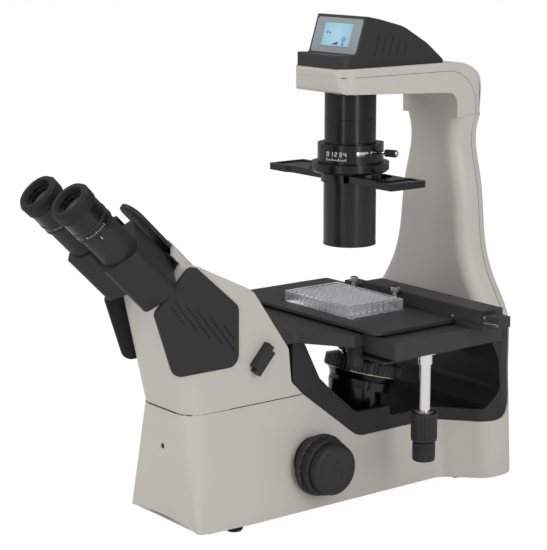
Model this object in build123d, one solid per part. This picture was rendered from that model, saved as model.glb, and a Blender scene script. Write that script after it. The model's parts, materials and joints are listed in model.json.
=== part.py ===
from build123d import *
import math
import os

os.makedirs("parts", exist_ok=True)

# Inverted microscope with a tall pillar, a fixed stage and an inclined binocular head.
# Working frame: the optical axis is the Z axis, the table is z = 0, the operator sits at -Y
# and +X is the operator's right. Everything is moved to the centre of its own footprint at
# the end. Millimetres throughout.

# Clearances
RUN = 0.05          # radial clearance of a turning shaft in its bore
AIR = 0.3           # air between parts that slide past one another
SEAT = 0.1          # play of a part that drops into a recess

# Stand: light grey lower cover, black window casting, light grey pillar
BASE_BOTTOM = 8.0
SPLIT_Z = 139.6
COLUMN_TOP = 190.0
COVER_WALL = 4.0
CASTING_INSET = 1.5
FRONT_Y = -272.0
SHOULDER_Y = -200.0
FLARE_Y = 84.0
LOBE_Y = 126.0
REAR_Y = 180.0
FRONT_HALF_LOW = 70.0
FRONT_HALF_HIGH = 49.0
SIDE_HALF_LOW = 74.0
SIDE_HALF_HIGH = 50.0
LOBE_HALF_LOW = 116.0
LOBE_HALF_HIGH = 109.0
NOSE_RADIUS_LOW = 6.0
NOSE_RADIUS_HIGH = 22.0
FLARE_RADIUS = 25.0
LOBE_RADIUS = 30.0
RIM_Z = 78.0              # height of the seam between cover and casting along the side
RIM_FRONT_Y = -36.0       # where that seam starts to climb towards the front
RIM_START_Y = -110.0
RIM_REAR_Y = 167.0

# Window through the black casting
WINDOW_TOP_FRONT = (-108.0, 202.0)
WINDOW_BEND = (-84.0, 154.0)
WINDOW_SILL_FRONT = (-33.0, 105.0)
SILL_STEP_Y = 18.0
SILL_Z_FRONT = 105.0
SILL_Z_REAR = 93.0
WINDOW_REAR_Y = 126.0
FLOOR_Z = 84.0
SHELF_FRONT_Y = 84.0
SHELF_THICK = 8.0
LIP_WALL = 7.0

# Upper front cover
NOSE_LEAN_Y = -301.0
NOSE_LEAN_Z = 274.5
CROWN_Y = -263.5
CROWN_Z = 311.5
BROW_Y = -187.0
BROW_Z = 274.0
FRONT_COVER_HALF = 50.0
FRONT_COVER_RADIUS = 22.0

# Optics inside: the path turns at a mirror under the nosepiece and climbs at 45 degrees
MIRROR_Z = 20.0
MIRROR_SIDE = 34.0
LIGHT_TUBE_RADIUS = 17.0
LIGHT_TUBE_BORE = 15.0
TUBE_START = 70.0
LEVER_Y = -172.0

# Binocular head, in the frame of its pivot axis
PIVOT_RADIUS = 40.0
EYE_SPACING = 65.0
EYE_SPACING_MIN = 48.0
EYE_SPACING_MAX = 75.0
PIVOT_Y = -281.0
ARM_START = -1.5
ARM_END = 69.0
ARM_HALF = 23.0
ARM_REACH = 23.0
EYETUBE_END = 110.0
EYETUBE_RADIUS = 21.0
EYEPIECE_END = 156.3
EYECUP_RADIUS = 24.0
EYEPIECE_BODY_RADIUS = 22.3
BARREL_RADIUS = 15.0
PIVOT_TUBE_RADIUS = 13.0
PIVOT_TUBE_BORE = 10.0
HUB_RADIUS = 20.0
HUB_THICK = 9.0
NECK_RADIUS = 34.0
NECK_WALL = 4.0
NECK_RISE = 9.0

# Pillar and arm
PILLAR_FRONT_Y = 126.0
PILLAR_WAIST = [(190.0, 107.0), (225.0, 93.0), (260.0, 72.0), (300.0, 61.0), (345.0, 56.0), (445.0, 50.0)]
ARM_HALF_WIDTH = 49.0
ARM_FRONT_Y = -54.0
ARM_UNDER_Z = 473.0
ARM_UNDER_RISE = 8.0
ARM_TOP_Z = 509.5
ARM_SEAM_Z = 499.5
ARM_BACK_RADIUS = 60.0
ARM_FRONT_RADIUS = 22.0
PILLAR_FRONT_RADIUS = 16.0
PILLAR_BACK_RADIUS = 30.0
BACK_COVER_DEPTH = 24.0

# Control console on the arm
CONSOLE_HALF = 44.0
CONSOLE_LIP_Y = -51.0
CONSOLE_LIP_Z = 525.0
SCREEN_FOOT_Y = -28.0
SCREEN_TOP_Y = -14.0
CONSOLE_TOP_Z = 568.0
CONSOLE_TAIL_Y = 109.0
CONSOLE_WALL = 3.0
SCREEN_TILT_DEPTH = 2.5

# Transmitted light column on the optical axis
LAMP_TUBE_RADIUS = 30.5
LAMP_SEAM_Z = 447.6
COLLAR_TOP_Z = 418.6
COLLAR_RADIUS = 38.6
FLANGE_TOP_Z = 396.0
FLANGE_RADIUS = 46.4
FLANGE_BOTTOM_Z = 382.8
SLIDER_THICK = 8.0
SLIDER_HALF = 27.0
SLIDER_LEFT = -123.0
SLIDER_RIGHT = 105.0
CONDENSER_BOTTOM_Z = 297.1
CONDENSER_RADIUS = 31.3
CONDENSER_WALL = 2.5
TUBE_WALL = 3.0

# Stage
SLAB_BOTTOM_Z = 194.5
SLAB_TOP_Z = 216.0
SLAB_HALF = 163.0
SLAB_FRONT_Y = -66.0
SLAB_REAR_Y = 98.0
SLAB_HOLE_HALF = 66.0
SLAB_HOLE_FRONT_Y = -52.0
SLAB_HOLE_REAR_Y = 80.0
NECK_BOTTOM_Z = 202.0
NECK_HALF = 49.5
NECK_ROOT_Y = -144.0
WING_START_Y = -121.0
WING_HALF = 107.5
WING_Y = -83.0
TABLE_TOP_Z = 223.0
TABLE_THICK = 3.75
TABLE_HALF = 137.0
TABLE_FRONT_Y = -74.0
TABLE_REAR_Y = 45.0
WELL_PLATE_X = 127.76
WELL_PLATE_Y = 85.48
WELL_PLATE_HEIGHT = 14.35
WELL_PLATE_CENTRE_Y = -8.5
WELL_PLATE_TOP_Z = 235.0
WELL_PITCH = 9.0
WELL_ROWS = 8
WELL_COLUMNS = 12
WELL_RADIUS = 3.4
RAIL_LEFT = -29.0
RAIL_RIGHT = 183.0
RAIL_FRONT_Y = 45.5
RAIL_REAR_Y = 77.0
RAIL_TOP_Z = 240.0
RAIL_WALL = 4.0
BAR_LEFT = -64.0
BAR_RIGHT = 207.0
CLAMP_SCREW_X = 38.0
CLAMP_SCREW_Y = 40.0
Y_TRAVEL = 37.5
X_TRAVEL = 57.0

# Stage drive under the right side of the slab
DRIVE_X = 148.0
DRIVE_Y = -10.0
IDLER_X = 118.0
DRIVE_COLLAR_RADIUS = 8.3
DRIVE_SHAFT_RADIUS = 6.4
Y_KNOB_RADIUS = 15.0
X_KNOB_RADIUS = 13.0
Y_KNOB_TOP = 123.5
Y_KNOB_BOTTOM = 89.5
X_KNOB_BOTTOM = 66.0
GEAR_MODULE = 1.0
DRIVE_TEETH = 24
IDLER_TEETH = 36
RACK_PINION_TEETH = 12

# Focus drive
FOCUS_Y = -104.0
FOCUS_Z = 60.0
FOCUS_MODULE = 0.8
FOCUS_TEETH = 15
FOCUS_UP = 7.0
FOCUS_DOWN = 2.0
COARSE_SHAFT_RADIUS = 4.5
FINE_SHAFT_RADIUS = 2.5
KNOB_WALL_X = 72.0
COARSE_FLANGE_RADIUS = 36.0
COARSE_GRIP_RADIUS = 32.5
COARSE_END_X = 92.0
FINE_END_X = 105.0
FINE_KNOB_RADIUS = 29.5
CARRIAGE_RADIUS = 32.0
CARRIAGE_BORE = 26.0
CARRIAGE_Y = 10.0
SIDE_PLATE_X = 26.0
SIDE_PLATE_THICK = 6.0
GUIDE_ROD_X = 42.0
GUIDE_ROD_RADIUS = 5.0

# Nosepiece
TURRET_TILT = 15.0
TURRET_OFFSET_Y = 27.0
SHOULDER_Z = 166.0
TURRET_RADIUS = 47.0
TURRET_RIBS = 60
TURRET_PIN_RADIUS = 8.0
OBJECTIVES = 5
OBJECTIVE_RADIUS = 12.0
OBJECTIVE_THREAD_RADIUS = 10.0
OBJECTIVE_LENGTHS = (40.0, 38.0, 36.0, 39.0, 34.0)


def blend(low, high, share):
    """Value between low and high at a share from 0 to 1."""
    return low + (high - low) * share


def block(x, y, z):
    """Box between (low, high) pairs along the three axes."""
    centre = [(pair[0] + pair[1]) / 2 for pair in (x, y, z)]
    size = [pair[1] - pair[0] for pair in (x, y, z)]
    return Pos(*centre) * Box(*size)


def outline(points, radii=0.0):
    """Closed flat face through points, with its corners rounded."""
    return make_face(FilletPolyline(*points, radius=radii, close=True))


def prism_x(points, low, high, radii=0.0):
    """Side-view outline given as (y, z), drawn out from x = low to x = high."""
    return extrude(Plane.YZ.offset(low) * outline(points, radii), amount=high - low)


def prism_z(points, low, high, radii=0.0):
    """Plan outline given as (x, y), drawn out from z = low to z = high."""
    return extrude(Plane.XY.offset(low) * outline(points, radii), amount=high - low)


def rod(radius, start, end, bore=0.0):
    """Round bar from start to end, or a tube where a bore radius is given."""
    along = Vector(*end) - Vector(*start)
    plane = Plane(origin=start, z_dir=along)
    grounded = (Align.CENTER, Align.CENTER, Align.MIN)
    bar = Cylinder(radius, along.length, align=grounded)
    if bore > 0:
        bar = bar - Cylinder(bore, along.length, align=grounded)
    return plane * bar


def turned(profile, plane=Plane.XY):
    """Solid of revolution about a plane's normal from (radius, height) points."""
    face = make_face(Plane.XZ * Polyline(*profile, close=True))
    return plane * revolve(face, Axis.Z)


def mirrored(part):
    """The same part on the other side of the plane of symmetry."""
    return mirror(part, about=Plane.YZ)


def rectangle(half_x, low_y, high_y):
    """Corner points of a rectangle that is centred on x = 0."""
    return [(-half_x, low_y), (half_x, low_y), (half_x, high_y), (-half_x, high_y)]


# Stand shapes

def stand_section(z, inset):
    """Plan outline of the stand at one height: narrow front, wide round rear lobes."""
    share = min(max((z - BASE_BOTTOM) / (SPLIT_Z - BASE_BOTTOM), 0.0), 1.0)
    front = blend(FRONT_HALF_LOW, FRONT_HALF_HIGH, share) - inset
    side = blend(SIDE_HALF_LOW, SIDE_HALF_HIGH, share) - inset
    lobe = blend(LOBE_HALF_LOW, LOBE_HALF_HIGH, share) - inset
    nose = blend(NOSE_RADIUS_LOW, NOSE_RADIUS_HIGH, share)
    right = [
        (front, FRONT_Y + inset),
        (side, SHOULDER_Y),
        (side, FLARE_Y),
        (lobe, LOBE_Y),
        (lobe, REAR_Y - inset),
    ]
    left = [(-x, y) for x, y in reversed(right)]
    radii = [nose, 0.0, FLARE_RADIUS, LOBE_RADIUS, LOBE_RADIUS]
    return Plane.XY.offset(z) * outline(right + left, radii + radii[::-1])


def stand_envelope(inset, low=BASE_BOTTOM, high=COLUMN_TOP):
    """Solid inside the stand's outer faces, drawn in by an inset."""
    body = loft([stand_section(low, inset), stand_section(SPLIT_Z, inset)], ruled=True)
    if high > SPLIT_Z:
        body = body + extrude(stand_section(SPLIT_Z, inset), amount=high - SPLIT_Z)
    return body


def above_seam():
    """Everything above the seam between the lower cover and the black casting."""
    reach = SLAB_HALF
    seam = [
        (RIM_START_Y, SPLIT_Z),
        (RIM_FRONT_Y, RIM_Z),
        (RIM_REAR_Y, RIM_Z),
        (RIM_REAR_Y, COLUMN_TOP),
        (RIM_REAR_Y, COLUMN_TOP + 50),
        (RIM_START_Y, COLUMN_TOP + 50),
    ]
    return prism_x(seam, -reach, reach, [4.0, 30.0, 26.0, 0.0, 0.0, 0.0])


def light_axis(distance):
    """Point on the inclined optical path at a distance from the lower mirror."""
    step = distance * math.sqrt(0.5)
    return (0.0, -step, MIRROR_Z + step)


def focus_bore(radius):
    """Drilling for the focus shaft right across the stand."""
    return rod(radius, (-SLAB_HALF, FOCUS_Y, FOCUS_Z), (SLAB_HALF, FOCUS_Y, FOCUS_Z))


BEARING_RADIUS = 30.0
INLET_X = 55.0
SWITCH_X = 15.0
REAR_PORT_Z = 45.0
INLET_HALF = (14.0, 10.5)
SWITCH_HALF = (7.0, 10.5)
LED_Z = 96.0
LED_RADIUS = 2.0


def base_housing():
    """Light grey lower cover: an open skin with an arched front edge and a high back."""
    skin = stand_envelope(0.0) - stand_envelope(COVER_WALL, BASE_BOTTOM, COLUMN_TOP)
    front_top = block((-SLAB_HALF, SLAB_HALF), (-400, RIM_START_Y + 0.5), (SPLIT_Z, 400))
    skin = skin - above_seam() - front_top
    arch_radius = 480.0
    arch_rise = 6.0
    arch_z = BASE_BOTTOM + arch_rise - arch_radius
    skin = skin - rod(arch_radius, (0, FRONT_Y - 10, arch_z), (0, FRONT_Y + 12, arch_z))
    skin = skin - focus_bore(BEARING_RADIUS)
    for x, half in ((INLET_X, INLET_HALF), (SWITCH_X, SWITCH_HALF)):
        skin = skin - block(
            (x - half[0], x + half[0]),
            (REAR_Y - 10, REAR_Y + 10),
            (REAR_PORT_Z - half[1], REAR_PORT_Z + half[1]),
        )
    skin = skin - rod(LED_RADIUS, (0, FRONT_Y - 5, LED_Z), (0, FRONT_Y + 10, LED_Z))
    return skin


def base_plate():
    """Steel bottom plate inside the lower cover."""
    section = stand_section(BASE_BOTTOM, COVER_WALL + SEAT)
    plate = extrude(section, amount=2.5)
    trim = stand_envelope(COVER_WALL + SEAT, BASE_BOTTOM, SPLIT_Z)
    return plate & trim


FOOT_X = 57.6
FOOT_FRONT_Y = -215.0
FOOT_REAR_X = 80.0
FOOT_REAR_Y = 140.0
FOOT_RADIUS = 10.0


def foot_pads():
    """Four rubber feet pressed under the bottom plate."""
    profile = [(0, 0), (FOOT_RADIUS - 1.5, 0), (FOOT_RADIUS, 2), (FOOT_RADIUS, BASE_BOTTOM), (0, BASE_BOTTOM)]
    places = [
        (FOOT_X, FOOT_FRONT_Y),
        (-FOOT_X, FOOT_FRONT_Y),
        (FOOT_REAR_X, FOOT_REAR_Y),
        (-FOOT_REAR_X, FOOT_REAR_Y),
    ]
    return [Pos(x, y, 0) * turned(profile) for x, y in places]


def window_profile():
    """Side view of the see-through window in the casting."""
    points = [
        WINDOW_TOP_FRONT,
        WINDOW_BEND,
        WINDOW_SILL_FRONT,
        (SILL_STEP_Y, SILL_Z_FRONT),
        (SILL_STEP_Y, SILL_Z_REAR),
        (WINDOW_REAR_Y, SILL_Z_REAR),
        (WINDOW_REAR_Y + 24, SILL_Z_REAR + 22),
        (WINDOW_REAR_Y + 22, 150.0),
        (WINDOW_REAR_Y + 8, COLUMN_TOP - 10),
        (SHELF_FRONT_Y, COLUMN_TOP - 10),
        (SHELF_FRONT_Y, 250.0),
        (WINDOW_TOP_FRONT[0], 250.0),
    ]
    radii = [0.0, 8.0, 14.0, 0.0, 3.0, 12.0, 10.0, 20.0, 10.0, 3.0, 0.0, 0.0]
    return points, radii


def window_casting():
    """Black body casting: front wall, floor with a lip, rear column and stage shelf."""
    outer = stand_envelope(CASTING_INSET, BASE_BOTTOM, COLUMN_TOP)
    wall_top = block(
        (-SIDE_HALF_HIGH + CASTING_INSET, SIDE_HALF_HIGH - CASTING_INSET),
        (RIM_START_Y - 14, RIM_FRONT_Y),
        (SPLIT_Z, NECK_BOTTOM_Z),
    )
    body = (outer & above_seam()) + wall_top
    points, radii = window_profile()
    body = body - prism_x(points, -SLAB_HALF, SLAB_HALF, radii)
    pit = stand_envelope(CASTING_INSET + LIP_WALL) & block(
        (-SLAB_HALF, SLAB_HALF), (RIM_FRONT_Y + 10, WINDOW_REAR_Y + 4), (FLOOR_Z, 150.0)
    )
    body = body - pit
    shelf = block(
        (-60, 60),
        (SHELF_FRONT_Y, WINDOW_REAR_Y + 12),
        (SLAB_BOTTOM_Z - SHELF_THICK, SLAB_BOTTOM_Z),
    )
    column_cap = block((-60, 60), (WINDOW_REAR_Y - 2, WINDOW_REAR_Y + 12), (COLUMN_TOP - 1, SLAB_BOTTOM_Z))
    body = body + (shelf - column_cap)
    body = body - block((-SLAB_HALF, SLAB_HALF), (PILLAR_FRONT_Y - 0.5, 300), (COLUMN_TOP, 300))
    column_bore = rod(CARRIAGE_RADIUS + AIR, (0, CARRIAGE_Y, 60), (0, CARRIAGE_Y, 150))
    ring = rod(CARRIAGE_RADIUS + 8, (0, CARRIAGE_Y, FLOOR_Z - 1), (0, CARRIAGE_Y, FLOOR_Z + 9))
    body = body + ring - column_bore
    return body - light_tube_path() - front_block(SLAB_HALF)


def front_profile():
    """Side view of the upper front cover."""
    return [
        (FRONT_Y + 1, SPLIT_Z),
        (RIM_START_Y, SPLIT_Z),
        (RIM_START_Y - 17, 157.0),
        (RIM_START_Y - 21, 197.0),
        (BROW_Y + 7, BROW_Z - 5),
        (BROW_Y, BROW_Z),
        (CROWN_Y, CROWN_Z),
        (NOSE_LEAN_Y, NOSE_LEAN_Z),
    ]


def head_frame():
    """Frame of the head: origin on the pivot axis, z towards the eyes, y up and back."""
    return Plane(
        origin=(0, PIVOT_Y, MIRROR_Z - PIVOT_Y),
        x_dir=(1, 0, 0),
        z_dir=(0, -math.sqrt(0.5), math.sqrt(0.5)),
    )


def head_rod(radius, low, high, x=0.0, y=0.0, bore=0.0):
    """Round bar parallel to the head's axis, given in the head's own frame."""
    return head_frame() * rod(radius, (x, y, low), (x, y, high), bore)


GRIP_POINTS = [
    (-265.0, 312.6),
    (-202.0, 256.5),
    (-202.5, 188.0),
    (-289.5, 188.0),
    (-314.5, 263.1),
]
GRIP_RADII = [12.0, 12.0, 14.0, 14.0, 7.0]
GRIP_SINK = 2.0
GRIP_PROUD = 3.0
PORT_RADIUS = 19.0
PORT_BORE = 12.7
PORT_LENGTH = 16.0
LEVER_SHAFT_RADIUS = 4.0


CORNER_BLEED = 0.06     # keeps the corner rounding from running out on the front plane's very edge
FRONT_RADII = [0.0, 0.0, 8.0, 12.0, 10.0, 10.0, 14.0, 10.0]


def front_block(half):
    """Solid side-view block of the upper front cover."""
    return prism_x(front_profile(), -half, half, FRONT_RADII)


def front_body(inset=0.0):
    """Upper front cover as a solid with round front corners, drawn in by an inset."""
    half = FRONT_COVER_HALF - inset
    face = outline(front_profile(), FRONT_RADII)
    if inset > 0:
        face = offset(face, amount=-inset)
    body = extrude(Plane.YZ.offset(-half - 1) * face, amount=2 * half + 2)
    lean = math.degrees(math.atan2(FRONT_Y + 1 - NOSE_LEAN_Y, NOSE_LEAN_Z - SPLIT_Z))
    radius = FRONT_COVER_RADIUS - inset
    plan = rectangle(half, inset - CORNER_BLEED, 300.0)
    slab = prism_z(plan, -60.0, 260.0, [radius, radius, 0.0, 0.0])
    return body & (Pos(0, FRONT_Y + 1, SPLIT_Z) * Rot(lean, 0, 0) * slab)


def light_tube_path():
    """Drilling for the light tube through the walls that it crosses."""
    return rod(LIGHT_TUBE_RADIUS + SEAT, light_axis(TUBE_START - 20), light_axis(box_distance()))


def front_housing():
    """Light grey upper front cover with the neck that hoods the head's hub."""
    half = FRONT_COVER_HALF
    neck = head_rod(NECK_RADIUS, -30, NECK_RISE)
    below = head_frame() * block((-60, 60), (-60, 16), (-5, 60))
    solid = front_body() + (neck - below)
    mouth = block(
        (-half + FRONT_COVER_RADIUS, half - FRONT_COVER_RADIUS),
        (FRONT_Y + 1 + COVER_WALL, RIM_START_Y - 3 * COVER_WALL),
        (SPLIT_Z - 1, SPLIT_Z + 2 * COVER_WALL),
    )
    solid = solid - front_body(COVER_WALL) - mouth - light_tube_path()
    solid = solid - head_rod(NECK_RADIUS - NECK_WALL, -45, 60)
    lever_z = MIRROR_Z - LEVER_Y
    solid = solid - rod(LEVER_SHAFT_RADIUS + RUN, (0, LEVER_Y, lever_z), (80, LEVER_Y, lever_z))
    solid = solid - rod(PORT_RADIUS, (0, LEVER_Y, lever_z), (-80, LEVER_Y, lever_z))
    sunk = prism_x(GRIP_POINTS, half - GRIP_SINK, half + 20, GRIP_RADII)
    return solid - sunk - mirrored(sunk)


def grip_pad():
    """Bulged rubber grip with slanted ribs, on the right side."""
    inner = FRONT_COVER_HALF - GRIP_SINK
    outer = FRONT_COVER_HALF + GRIP_PROUD
    pad = prism_x(GRIP_POINTS, inner, outer, GRIP_RADII)
    edges = pad.faces().sort_by(Axis.X)[-1].edges()
    pad = chamfer(edges, 1.6)
    ribs = []
    for step in range(6):
        middle = (-294.0 + step * 17.0, 268.0 - step * 10.0)
        rib = block((outer - 1.0, outer + 1), (-1.0, 1.0), (-26.0, 26.0))
        ribs.append(Pos(0, *middle) * Rot(38, 0, 0) * rib)
    for rib in ribs:
        pad = pad - (rib & prism_x([(-300, 195), (-210, 195), (-210, 252), (-262, 294), (-302, 262)], 0, 90))
    return pad


def lower_mirror():
    """First-surface mirror that turns the vertical path to the inclined one."""
    plate = block((-MIRROR_SIDE / 2, MIRROR_SIDE / 2), (-MIRROR_SIDE / 2, MIRROR_SIDE / 2), (-3, 0))
    return Pos(0, 0, MIRROR_Z) * Rot(22.5, 0, 0) * plate


def mirror_mount():
    """Wedge that carries the mirror on the bottom plate."""
    wedge = block((-20, 20), (-21, 21), (BASE_BOTTOM + 2.5, MIRROR_Z + 15))
    cutter = Pos(0, 0, MIRROR_Z) * Rot(22.5, 0, 0) * block((-40, 40), (-60, 60), (-3, 60))
    return wedge - cutter


BOX_HALF = 22.0


def box_distance():
    """Distance of the beam splitter's centre from the lower mirror."""
    return -LEVER_Y * math.sqrt(2)


def light_tube_lower():
    """Blackened tube from the tube lens to the beam splitter box."""
    return rod(LIGHT_TUBE_RADIUS, light_axis(TUBE_START), light_axis(box_distance() - BOX_HALF), LIGHT_TUBE_BORE)


def light_tube_upper():
    """Blackened tube from the beam splitter box to the head."""
    end = (MIRROR_Z - PIVOT_Y - MIRROR_Z) * math.sqrt(2) - 16.0
    return rod(LIGHT_TUBE_RADIUS, light_axis(box_distance() + BOX_HALF), light_axis(end), LIGHT_TUBE_BORE)


def tube_lens():
    """Tube lens in the lower end of the light tube."""
    return rod(LIGHT_TUBE_BORE, light_axis(TUBE_START + 4), light_axis(TUBE_START + 11))


def splitter_frame():
    """Frame of the beam splitter box, z along the light path."""
    lever_z = MIRROR_Z - LEVER_Y
    return Plane(origin=(0, LEVER_Y, lever_z), x_dir=(1, 0, 0), z_dir=(0, -math.sqrt(0.5), math.sqrt(0.5)))


def splitter_box():
    """Box in the light path that the beam splitter slides through."""
    half = BOX_HALF
    shell = block((-42, 42), (-18, 18), (-half, half))
    shell = shell - block((-38, 38), (-14, 14), (-14, 14))
    shell = shell - rod(LIGHT_TUBE_BORE - 3, (0, 0, -30), (0, 0, 30))
    shell = splitter_frame() * shell
    lever_z = MIRROR_Z - LEVER_Y
    shell = shell - rod(PORT_BORE, (-30, LEVER_Y, lever_z), (-60, LEVER_Y, lever_z))
    return shell - rod(LEVER_SHAFT_RADIUS + RUN, (20, LEVER_Y, lever_z), (80, LEVER_Y, lever_z))


SPLITTER_TRAVEL = 22.0


def beam_splitter():
    """Glass cube that is slid into the path for the side port."""
    return splitter_frame() * block((-12, 12), (-13.5, 13.5), (-13.5, 13.5))


def camera_port():
    """Side port on the left for a camera, with a standard threaded mouth."""
    lever_z = MIRROR_Z - LEVER_Y
    face = FRONT_COVER_HALF + PORT_LENGTH
    tube = rod(PORT_RADIUS, (-42.5, LEVER_Y, lever_z), (-face, LEVER_Y, lever_z), PORT_BORE)
    return tube


LEVER_LONG = 36.0
LEVER_WIDE = 15.0


def path_lever():
    """Light-path lever: a stepped bar on a short shaft, on the right side."""
    lever_z = MIRROR_Z - LEVER_Y
    outer = FRONT_COVER_HALF + AIR
    bar = block((outer, outer + 9), (-LEVER_WIDE / 2, LEVER_WIDE / 2), (-LEVER_LONG / 2, LEVER_LONG / 2))
    for side in (1, -1):
        notch = block(
            (outer - 1, outer + 20),
            tuple(sorted((side * 2.0, side * 20.0))),
            tuple(sorted((side * (LEVER_LONG / 2 - 4), side * 40.0))),
        )
        bar = bar - notch
    bar = Rot(-42, 0, 0) * bar
    bar = bar + rod(LEVER_SHAFT_RADIUS, (39, 0, 0), (outer + 1, 0, 0))
    return Pos(0, LEVER_Y, lever_z) * bar


# Head

def eye_offset():
    """Distance of the eyepiece axes below the pivot axis, in the head's frame."""
    return math.sqrt(PIVOT_RADIUS ** 2 - (EYE_SPACING / 2) ** 2)


def head_base():
    """Flange in the neck, hollow pivot tube, and the bridge plate behind the arms."""
    neck = NECK_RADIUS - NECK_WALL - SEAT
    body = rod(neck, (0, 0, -16), (0, 0, ARM_START - 1.5))
    body = body + rod(PIVOT_TUBE_RADIUS, (0, 0, -16), (0, 0, 26))
    rib_low = ARM_HALF + 1.3
    rib = block((-7, 7), (rib_low, rib_low + 4.5), (-12, 20))
    bridge = prism_z(rectangle(17, NECK_RISE + 1, 78), rib_low, rib_low + 4.5, [0, 0, 16, 16])
    bridge = Plane(origin=(0, 0, 0), x_dir=(-1, 0, 0), z_dir=(0, 1, 0)) * bridge
    body = body + rib + bridge
    body = body - rod(PIVOT_TUBE_BORE, (0, 0, -20), (0, 0, 40))
    return head_frame() * body


def arm_section():
    """Cross-section of a prism arm with the pivot at the origin and the tube along +x."""
    low = EYE_SPACING_MIN / 2 / PIVOT_RADIUS
    slope = math.tan(math.asin(low))
    gap = 0.6
    far = PIVOT_RADIUS + ARM_REACH
    return [
        (2.0, ARM_HALF),
        (far, ARM_HALF),
        (far, -ARM_HALF),
        ((ARM_HALF + gap) / slope, -ARM_HALF),
        (2.0, -2.0 * slope + gap),
    ]


def prism_arm(side):
    """Prism arm with its eyetube and hub ring; side is 1 on the right and -1 on the left."""
    section = prism_z(arm_section(), ARM_START, ARM_END, [2.0, 9.0, 9.0, 2.0, 0.0])
    own_low = ARM_START if side > 0 else ARM_START + HUB_THICK + AIR
    other_low = ARM_START + HUB_THICK + AIR if side > 0 else ARM_START
    body = section - rod(PIVOT_TUBE_RADIUS + RUN, (0, 0, ARM_START - 1), (0, 0, 27))
    body = body - rod(HUB_RADIUS + AIR, (0, 0, other_low - AIR), (0, 0, other_low + HUB_THICK + AIR))
    hub = rod(HUB_RADIUS, (0, 0, own_low), (0, 0, own_low + HUB_THICK), PIVOT_TUBE_RADIUS + RUN)
    body = body + hub
    tube = rod(EYETUBE_RADIUS, (PIVOT_RADIUS, 0, ARM_END - 1), (PIVOT_RADIUS, 0, EYETUBE_END))
    body = body + tube
    body = body - rod(BARREL_RADIUS + RUN, (PIVOT_RADIUS, 0, ARM_END - 20), (PIVOT_RADIUS, 0, EYETUBE_END + 1))
    turn = -math.degrees(math.asin(eye_offset() / PIVOT_RADIUS))
    body = Rot(0, 0, turn) * body
    if side < 0:
        body = mirrored(body)
    return head_frame() * body


def eye_plane(side):
    """Frame on one eyepiece axis, z towards the eye."""
    frame = head_frame()
    return frame * Pos(side * EYE_SPACING / 2, -eye_offset(), 0)


RING_LENGTH = 9.0
CUP_LENGTH = 16.0


def diopter_ring(side):
    """Turning diopter ring round the eyepiece barrel."""
    ring = rod(EYEPIECE_BODY_RADIUS, (0, 0, EYETUBE_END + AIR), (0, 0, EYETUBE_END + RING_LENGTH), BARREL_RADIUS + RUN)
    return eye_plane(side) * ring


def eyepiece(side):
    """Eyepiece body with its barrel in the eyetube and a lens seat at the top."""
    low = EYETUBE_END + RING_LENGTH + AIR
    high = EYEPIECE_END - CUP_LENGTH
    body = rod(EYEPIECE_BODY_RADIUS, (0, 0, low), (0, 0, high))
    body = body + rod(BARREL_RADIUS, (0, 0, ARM_END - 15), (0, 0, low))
    body = body + rod(EYECUP_RADIUS - 4, (0, 0, high), (0, 0, EYEPIECE_END - 6))
    body = body - rod(BARREL_RADIUS - 3, (0, 0, ARM_END - 16), (0, 0, EYEPIECE_END - 12))
    body = body - rod(BARREL_RADIUS, (0, 0, EYEPIECE_END - 12), (0, 0, EYEPIECE_END))
    return eye_plane(side) * body


def eye_lens(side):
    """Eye lens at the top of the eyepiece."""
    lens = rod(BARREL_RADIUS, (0, 0, EYEPIECE_END - 12), (0, 0, EYEPIECE_END - 8))
    return eye_plane(side) * lens


def eyecup(side):
    """Rubber eyecup with a rolled rim."""
    low = EYEPIECE_END - CUP_LENGTH
    profile = [
        (EYECUP_RADIUS - 4, low),
        (EYECUP_RADIUS - 0.5, low),
        (EYECUP_RADIUS, EYEPIECE_END - 4),
        (EYECUP_RADIUS - 2.5, EYEPIECE_END),
        (EYECUP_RADIUS - 6.5, EYEPIECE_END - 0.5),
        (EYECUP_RADIUS - 8.5, EYEPIECE_END - 6),
        (EYECUP_RADIUS - 4, EYEPIECE_END - 6),
    ]
    return turned(profile, eye_plane(side))


# Pillar and arm

def arm_plan(low, high):
    """Plan block of the arm with round front and back corners."""
    plan = rectangle(ARM_HALF_WIDTH, ARM_FRONT_Y, REAR_Y + 1)
    radii = [ARM_FRONT_RADIUS, ARM_FRONT_RADIUS, PILLAR_BACK_RADIUS, PILLAR_BACK_RADIUS]
    return prism_z(plan, low, high, radii)


def arm_profile(grow=0.0):
    """Side view of the arm and the upper pillar, drawn in by a wall thickness."""
    back = REAR_Y + 1 - grow
    top = ARM_TOP_Z - grow
    return [
        (PILLAR_FRONT_Y + grow, PILLAR_WAIST[-1][0] - 2),
        (PILLAR_FRONT_Y + grow, ARM_UNDER_Z + grow),
        (ARM_FRONT_Y + 5 + grow, ARM_UNDER_Z + ARM_UNDER_RISE + grow),
        (ARM_FRONT_Y + grow, top),
        (back, top),
        (back, PILLAR_WAIST[-1][0] - 2),
    ]


def pillar_section(z, half, grow=0.0):
    """Rounded rectangle of the pillar at one height."""
    points = rectangle(half - grow, PILLAR_FRONT_Y + grow, REAR_Y + 1 - grow)
    radii = [PILLAR_FRONT_RADIUS, PILLAR_FRONT_RADIUS, PILLAR_BACK_RADIUS - grow, PILLAR_BACK_RADIUS - grow]
    return Plane.XY.offset(z) * outline(points, radii)


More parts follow.
